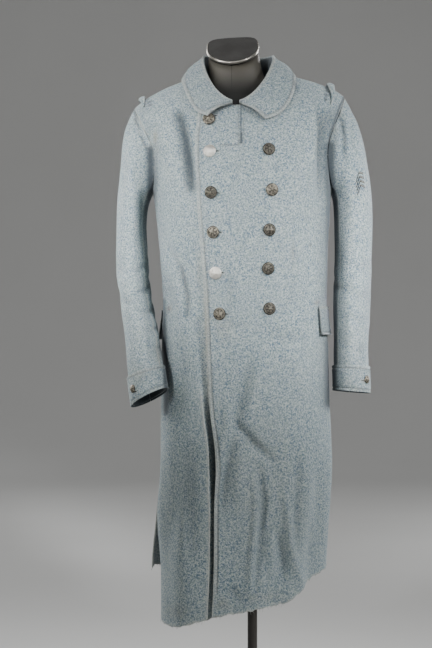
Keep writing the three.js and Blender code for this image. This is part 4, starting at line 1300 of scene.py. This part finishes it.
pole_low, pole_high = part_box("stand_pole")
pole_radius = (pole_high.x - pole_low.x) / 2
base_low, base_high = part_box("stand_base")
base_radius = (base_high.x - base_low.x) / 2
hub_radius = 24 * MM
thick = 10 * MM
round_edge = 2 * MM
pole = turned(
    "stand_pole_tube",
    [(0, pole_low.z), (pole_radius, pole_low.z), (pole_radius, pole_high.z), (0, pole_high.z)],
    40, stand_paint,
)
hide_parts("stand_pole")
base = turned(
    "stand_base_plate",
    [
        (0, base_low.z), (base_radius - round_edge, base_low.z), (base_radius, base_low.z + round_edge),
        (base_radius, thick - round_edge), (base_radius - round_edge, thick), (hub_radius + 8 * MM, thick),
        (hub_radius + 3 * MM, thick + 2 * MM), (hub_radius, thick + 7 * MM),
        (hub_radius, base_high.z - 4 * MM), (hub_radius - 4 * MM, base_high.z),
        (pole_radius + 0.3 * MM, base_high.z), (0, base_high.z - 0.1 * MM),
    ],
    96, stand_paint,
)
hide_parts("stand_base")
print("base radius", round(base_radius / MM), "mm")

# %% [markdown]
# Service chevrons on the sleeve are narrow woven braid: a pale middle between two dark cords. A copy of
# each solid is enough, and an attribute says where its border is. Creases move the sleeve's cloth, so each
# point of the braid keeps its height over the solid, measured again over the cloth, with a small lift
# added. That leaves it about 1.6 mm off the cloth, which is more than on real braid.

# %% Chevrons
def surface_of(node):
    mesh = pieces[node].data
    return BVHTree.FromPolygons([v.co for v in mesh.vertices], [p.vertices[:] for p in mesh.polygons])


def make_braid():
    material, tree, shader = new_material("service_braid")
    place = add_node(tree, "ShaderNodeTexCoord").outputs["Object"]
    waves = {"Vector": place, "Scale": 420.0, "Distortion": 2.0}
    twist = add_node(tree, "ShaderNodeTexWave", bands_direction="DIAGONAL", inputs=waves)
    middle = mix_colour(tree, twist.outputs["Fac"], (0.5, 0.48, 0.42), (0.36, 0.35, 0.3))
    colour = mix_colour(tree, attribute_value(tree, "rim"), middle, (0.02, 0.02, 0.022))
    tree.links.new(colour, shader.inputs["Base Color"])
    add_bump(tree, shader, twist.outputs["Fac"], 0.6, 0.0005)
    add_roughness(tree, shader, twist.outputs["Fac"], (0, 0.75), (1, 0.92))
    return material


BRAID_LIFT = 0.7 * MM
braid = make_braid()
SOLID_SLEEVE = BVHTree.FromBMesh(solid_copy("upper_sleeve_left"))
CLOTH_SLEEVE = surface_of("upper_sleeve_left")


braid_heights = []


def lay_on_sleeve(bm):
    """Keeps each point as far above the finished sleeve as it was above the sleeve's solid."""
    outward = outwards_of_sleeve(places(bm), "left")
    for vertex, out in zip(bm.verts, outward):
        out = Vector(out)
        start = vertex.co + out * 30 * MM
        old = SOLID_SLEEVE.ray_cast(start, -out, 60 * MM)[0]
        new = CLOTH_SLEEVE.ray_cast(start, -out, 60 * MM)[0]
        if old is not None and new is not None:
            vertex.co = new + out * (max((vertex.co - old).dot(out), 0) + BRAID_LIFT)
            braid_heights.append((vertex.co - new).dot(out))


for number in range(1, 5):
    node = f"sleeve_chevron_{number}"
    bm = solid_copy(node)
    loops = rim_loops(bm, 1.0 * MM)
    bm = subdivided(bm, 3)
    before = places(bm)
    border = nearness(before, [p for loop in loops for p in close_spaced(loop, 0.5 * MM)], 1.9 * MM)
    lay_on_sleeve(bm)
    made = finish_piece(bm, node + "_braid", braid)
    store(made, "rim", np.clip(border * 3.0 - 0.1, 0, 1))
    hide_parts(node)
print("chevrons have", triangles(made), "triangles each, and stand", round(min(braid_heights) / MM, 2),
      "to", round(max(braid_heights) / MM, 2), "mm above the cloth")

# %% [markdown]
# Rows of thread run along the collar, the front edge, the cuffs and the pocket flaps. The grooves for
# them are already pressed into the wool. Each stitch is a small low bead of thread, laid in its groove
# on the path that was kept when the cloth was made, so thread and groove can't part.

# %% Thread
def make_thread():
    material, tree, shader = new_material("linen_thread")
    place = add_node(tree, "ShaderNodeTexCoord").outputs["Object"]
    tone = add_noise(tree, place, 160.0, 2.0)
    colour = mix_colour(tree, tone.outputs["Fac"], (0.2, 0.24, 0.26), (0.42, 0.43, 0.4))
    tree.links.new(colour, shader.inputs["Base Color"])
    add_roughness(tree, shader, tone.outputs["Fac"], (0, 0.7), (1, 0.9))
    waves = {"Vector": place, "Scale": 900.0}
    twist = add_node(tree, "ShaderNodeTexWave", bands_direction="DIAGONAL", inputs=waves)
    add_bump(tree, shader, twist.outputs["Fac"], 0.5, 0.0002)
    return material


thread = make_thread()
print("thread", thread.name)

# %% Rows of stitches
def lay_stitches(bm, path, stitch=STITCH):
    """Adds one bead of thread for every second step of a path."""
    count = 0
    for (a, normal_a), (b, normal_b) in list(zip(path, path[1:]))[::2]:
        along = b - a
        if along.length > stitch["pitch"] * 1.5 or along.length < 0.2 * MM:
            continue
        normal = (normal_a + normal_b).normalized()
        side = normal.cross(along).normalized()
        turned_to = Matrix((along.normalized(), side, normal)).transposed().to_4x4()
        size = Matrix.Diagonal((stitch["length"] / 2, stitch["width"] / 2, stitch["high"] / 2, 1))
        place = Matrix.Translation((a + b) / 2 + normal * stitch["high"] * 0.2)
        bmesh.ops.create_icosphere(bm, subdivisions=1, radius=1.0, matrix=place @ turned_to @ size)
        count += 1
    return count


for name, nodes in (
    ("front", ("front_left",)),
    ("collar", ("collar",)),
    ("cuffs", ("cuff_left", "cuff_right")),
    ("flaps", ("pocket_flap_left", "pocket_flap_right")),
):
    bm = bmesh.new()
    count = sum(lay_stitches(bm, path) for node, path in sewn_paths if node in nodes)
    made = finish_piece(bm, "sewing_" + name, thread)
    print("sewing", name, count, "stitches")

# %% [markdown]
# A buttonhole is a slit bound all round with close blanket stitches. The buttons of the viewer's left
# column come through holes in the top layer, and the end of each hole shows on the right of its button.
# A dark lens of painted shade stands for the open slit, just above the cloth, and short beads of thread stand
# round it.

# %% Buttonholes and the neck slit
# The lens's near-black colour is painted shade, for the dark inside of an open slit.
def make_slit_shade():
    material, tree, shader = new_material("painted_shade_of_slits")
    place = add_node(tree, "ShaderNodeTexCoord").outputs["Object"]
    cloud = add_node(tree, "ShaderNodeTexNoise", inputs={"Vector": place, "Scale": 400.0})
    tree.links.new(mix_colour(tree, cloud.outputs["Fac"], (0.012, 0.013, 0.014), (0.03, 0.032, 0.034)),
                   shader.inputs["Base Color"])
    shader.inputs["Roughness"].default_value = 0.95
    shader.inputs["Specular IOR Level"].default_value = 0.1
    return material


slit_shade = make_slit_shade()


def on_surface(surface, u, v):
    hit, normal, face, gap = surface.ray_cast(EYE, line_of_sight(u, v))
    return hit, normal


def slit(name, surface, start, end, half_width, thread_bound=True):
    """A dark lens of painted shade between two places of the picture, laid on a surface, with thread round it
    if bound.
    """
    a, normal_a = on_surface(surface, *start)
    b, normal_b = on_surface(surface, *end)
    if a is None or b is None:
        print("no surface for", name)
        return
    normal = (normal_a + normal_b).normalized()
    along = (b - a).normalized()
    side = normal.cross(along).normalized()
    turned_to = Matrix((along, side, normal)).transposed().to_4x4()
    middle = (a + b) / 2
    hit, ground, face, gap = surface.find_nearest(middle)
    middle = hit
    half = (b - a).length / 2
    bm = bmesh.new()
    bmesh.ops.create_uvsphere(
        bm, u_segments=24, v_segments=8, radius=1.0,
        matrix=Matrix.Translation(middle) @ turned_to @ Matrix.Diagonal((half, half_width, 0.35 * MM, 1)),
    )
    made = finish_piece(bm, name, slit_shade)
    if thread_bound:
        bm = bmesh.new()
        count = 34
        for k in range(count):
            angle = 2 * math.pi * k / count
            across = half_width + 0.5 * MM
            flat = along * (half + 0.3 * MM) * math.cos(angle) + side * across * math.sin(angle)
            outward = (along * math.cos(angle) * across + side * math.sin(angle) * half).normalized()
            hit, ground, face, gap = surface.find_nearest(middle + flat)
            ahead = normal.cross(outward).normalized()
            bead = Matrix((outward, ahead, normal)).transposed().to_4x4()
            size = Matrix.Diagonal((1.3 * MM, 0.42 * MM, 0.38 * MM, 1))
            place = Matrix.Translation(hit + normal * 0.18 * MM)
            bmesh.ops.create_icosphere(bm, subdivisions=1, radius=1.0, matrix=place @ bead @ size)
        finish_piece(bm, name + "_thread", thread)


FRONT_SURFACE = surface_of("front_left")
BUTTONHOLES = [
    # number, start and end in the picture
    (1, (209.5, 117.0), (218.0, 115.0)),
    (2, (211.5, 151.0), (220.0, 151.0)),
    (3, (213.0, 192.5), (220.6, 193.2)),
    (4, (215.0, 231.5), (222.6, 232.4)),
    (5, (217.0, 272.2), (225.0, 272.8)),
    (6, (220.0, 313.6), (228.6, 314.2)),
]
for number, start, end in BUTTONHOLES:
    slit(f"buttonhole_{number}", FRONT_SURFACE, start, end, 1.3 * MM)
slit("buttonhole_cuff_right", surface_of("cuff_right"), (132.0, 392.6), (137.2, 391.2), 1.1 * MM)
slit("buttonhole_cuff_left", surface_of("cuff_left"), (361.0, 380.2), (365.5, 381.0), 1.1 * MM)
slit("neck_slit", FRONT_SURFACE, (241.0, 132.0), (241.0, 144.2), 1.5 * MM, thread_bound=False)
print("buttonholes:", len(BUTTONHOLES) + 2)

# %% [markdown]
# The hem is raw, so ends of yarn stand out of it. Each is a thin bent sliver of thread at the hem's rim.
# They point down and a little to one side, from a seeded random choice, so every run gives the same
# ones.

# %% Frays at the hem
FRAYS = {"every": 7 * MM, "share": 0.6, "length": (2.5 * MM, 7 * MM), "width": 0.45 * MM, "bend": 0.5}


def add_fray(bm, foot, direction, length, bend):
    """A sliver of three slim beads, each turned further than the one before."""
    place = foot
    for step in range(3):
        side = direction.cross(Vector((0, 1, 0))).normalized()
        turned_to = Matrix((direction, side, direction.cross(side))).transposed().to_4x4()
        slim = FRAYS["width"] * (1 - 0.25 * step)
        size = Matrix.Diagonal((length / 4.5, slim, slim, 1))
        middle = place + direction * length / 6
        bmesh.ops.create_icosphere(
            bm, subdivisions=1, radius=1.0, matrix=Matrix.Translation(middle) @ turned_to @ size
        )
        place = place + direction * length / 3
        direction = (direction + side * bend * 0.5).normalized()


chance = random.Random(7)
bm = bmesh.new()
count = 0
for node in HEMMED:
    mesh = pieces[node].data
    lowest = {}
    for vertex in mesh.vertices:
        angle = math.atan2(vertex.co.x - BODY_AXIS["x"], -(vertex.co.y - BODY_AXIS["y"]))
        key = int(angle * 190 * MM / FRAYS["every"])
        if key not in lowest or vertex.co.z < lowest[key].z:
            lowest[key] = vertex.co.copy()
    for key in sorted(lowest):
        if lowest[key].z > 0.5 or chance.random() > FRAYS["share"]:
            continue
        direction = Vector((chance.uniform(-0.7, 0.7), chance.uniform(-0.25, 0.25), -1)).normalized()
        length = chance.uniform(*FRAYS["length"])
        root = lowest[key] + Vector((0, 0, 0.4 * MM))
        add_fray(bm, root, direction, length, chance.uniform(-1, 1) * FRAYS["bend"])
        count += 1
finish_piece(bm, "hem_frays", thread)
print("frays:", count)

# %% [markdown]
# The floor and its backdrop are one pale sweep: a profile is spun round the object, so that every view
# has the same plain ground. A large box high on the left is the main light, and a box on the right is
# aimed low, at the skirt. A narrow box in front lights each sleeve. Two boxes light the back, one above
# fills the shadows, and two shine away from the coat onto the sweep.

# %% Floor sweep
def make_floor():
    material, tree, shader = new_material("pale_floor")
    place = add_node(tree, "ShaderNodeTexCoord").outputs["Object"]
    cloud = add_noise(tree, place, 1.2, 2.0)
    colour = mix_colour(tree, cloud.outputs["Fac"], (0.55, 0.55, 0.54), (0.6, 0.6, 0.59))
    tree.links.new(colour, shader.inputs["Base Color"])
    shader.inputs["Roughness"].default_value = 0.9
    shader.inputs["Specular IOR Level"].default_value = 0.1
    return material


SWEEP = {"floor": 6.5, "curve": 2.0, "top": 5.0, "steps": 12}
bm = bmesh.new()
profile = [(0.0, 0.0), (SWEEP["floor"], 0.0)]
for k in range(1, SWEEP["steps"] + 1):
    angle = math.pi / 2 * k / SWEEP["steps"]
    reach = SWEEP["floor"] + SWEEP["curve"] * math.sin(angle)
    profile.append((reach, SWEEP["curve"] * (1 - math.cos(angle))))
profile.append((SWEEP["floor"] + SWEEP["curve"], SWEEP["top"]))
verts = [bm.verts.new((r, 0, z)) for r, z in profile]
edges = [bm.edges.new(pair) for pair in zip(verts, verts[1:])]
bmesh.ops.spin(
    bm, geom=verts + edges, cent=(0, 0, 0), axis=(0, 0, 1), angle=2 * math.pi, steps=72, use_merge=True
)
bmesh.ops.remove_doubles(bm, verts=bm.verts, dist=0.1 * MM)
bmesh.ops.recalc_face_normals(bm, faces=bm.faces)
if sum(face.normal.z for face in bm.faces) < 0:
    bmesh.ops.reverse_faces(bm, faces=bm.faces)
for face in bm.faces:
    face.smooth = True
floor = bpy.data.objects.new("floor_sweep", mesh_from(bm, "floor_sweep"))
scene.collection.objects.link(floor)
floor.data.materials.append(make_floor())
print("sweep reaches", SWEEP["floor"] + SWEEP["curve"], "m")

# %% Lights
LIGHTS = [
    # name, place, aimed at, size in metres, power in watts, spread in degrees, colour
    ("left box", (-2.9, -2.0, 2.6), (-0.12, 0, 1.02), 1.7, 5.9, 50, (1.0, 0.99, 0.97)),
    ("right box", (2.7, -2.0, 2.4), (0.1, 0, 0.6), 0.9, 6.0, 40, (0.98, 0.99, 1.0)),
    ("left sleeve box", (-1.5, -3.2, 1.9), (-0.3, 0, 1.12), 0.5, 2.1, 11, (0.98, 0.99, 1.0)),
    ("right sleeve box", (1.2, -3.3, 1.9), (0.3, 0, 1.05), 0.5, 2.0, 10, (0.98, 0.99, 1.0)),
    ("back left box", (-2.4, 2.6, 2.3), (0, 0, 1.1), 1.4, 17, 70, (1.0, 1.0, 1.0)),
    ("back right box", (2.4, 2.6, 2.3), (0, 0, 1.1), 1.4, 14, 70, (1.0, 1.0, 1.0)),
    ("room", (0.0, 0.0, 4.8), (0, 0, 0), 3.0, 9, 180, (1.0, 1.0, 1.0)),
    ("wall behind", (0.0, 2.6, 4.9), (0, 5.0, 0.0), 2.4, 130, 160, (1.0, 1.0, 1.0)),
    ("wall in front", (0.0, -4.8, 4.6), (0, -7.0, 0.0), 2.0, 32, 140, (1.0, 1.0, 1.0)),
]
for name, place, aim, size, power, spread, colour in LIGHTS:
    light = bpy.data.lights.new(name, "AREA")
    light.shape = "SQUARE"
    light.size = size
    light.energy = power
    light.spread = math.radians(spread)
    light.color = colour
    lamp = bpy.data.objects.new(name, light)
    lamp.location = place
    lamp.rotation_euler = (Vector(aim) - Vector(place)).to_track_quat("-Z", "Y").to_euler()
    scene.collection.objects.link(lamp)
world = bpy.data.worlds.new("studio")
world.use_nodes = True
world.node_tree.nodes["Background"].inputs["Color"].default_value = (0.8, 0.82, 0.85, 1)
world.node_tree.nodes["Background"].inputs["Strength"].default_value = 0.04
scene.world = world
print("lights:", len(LIGHTS))
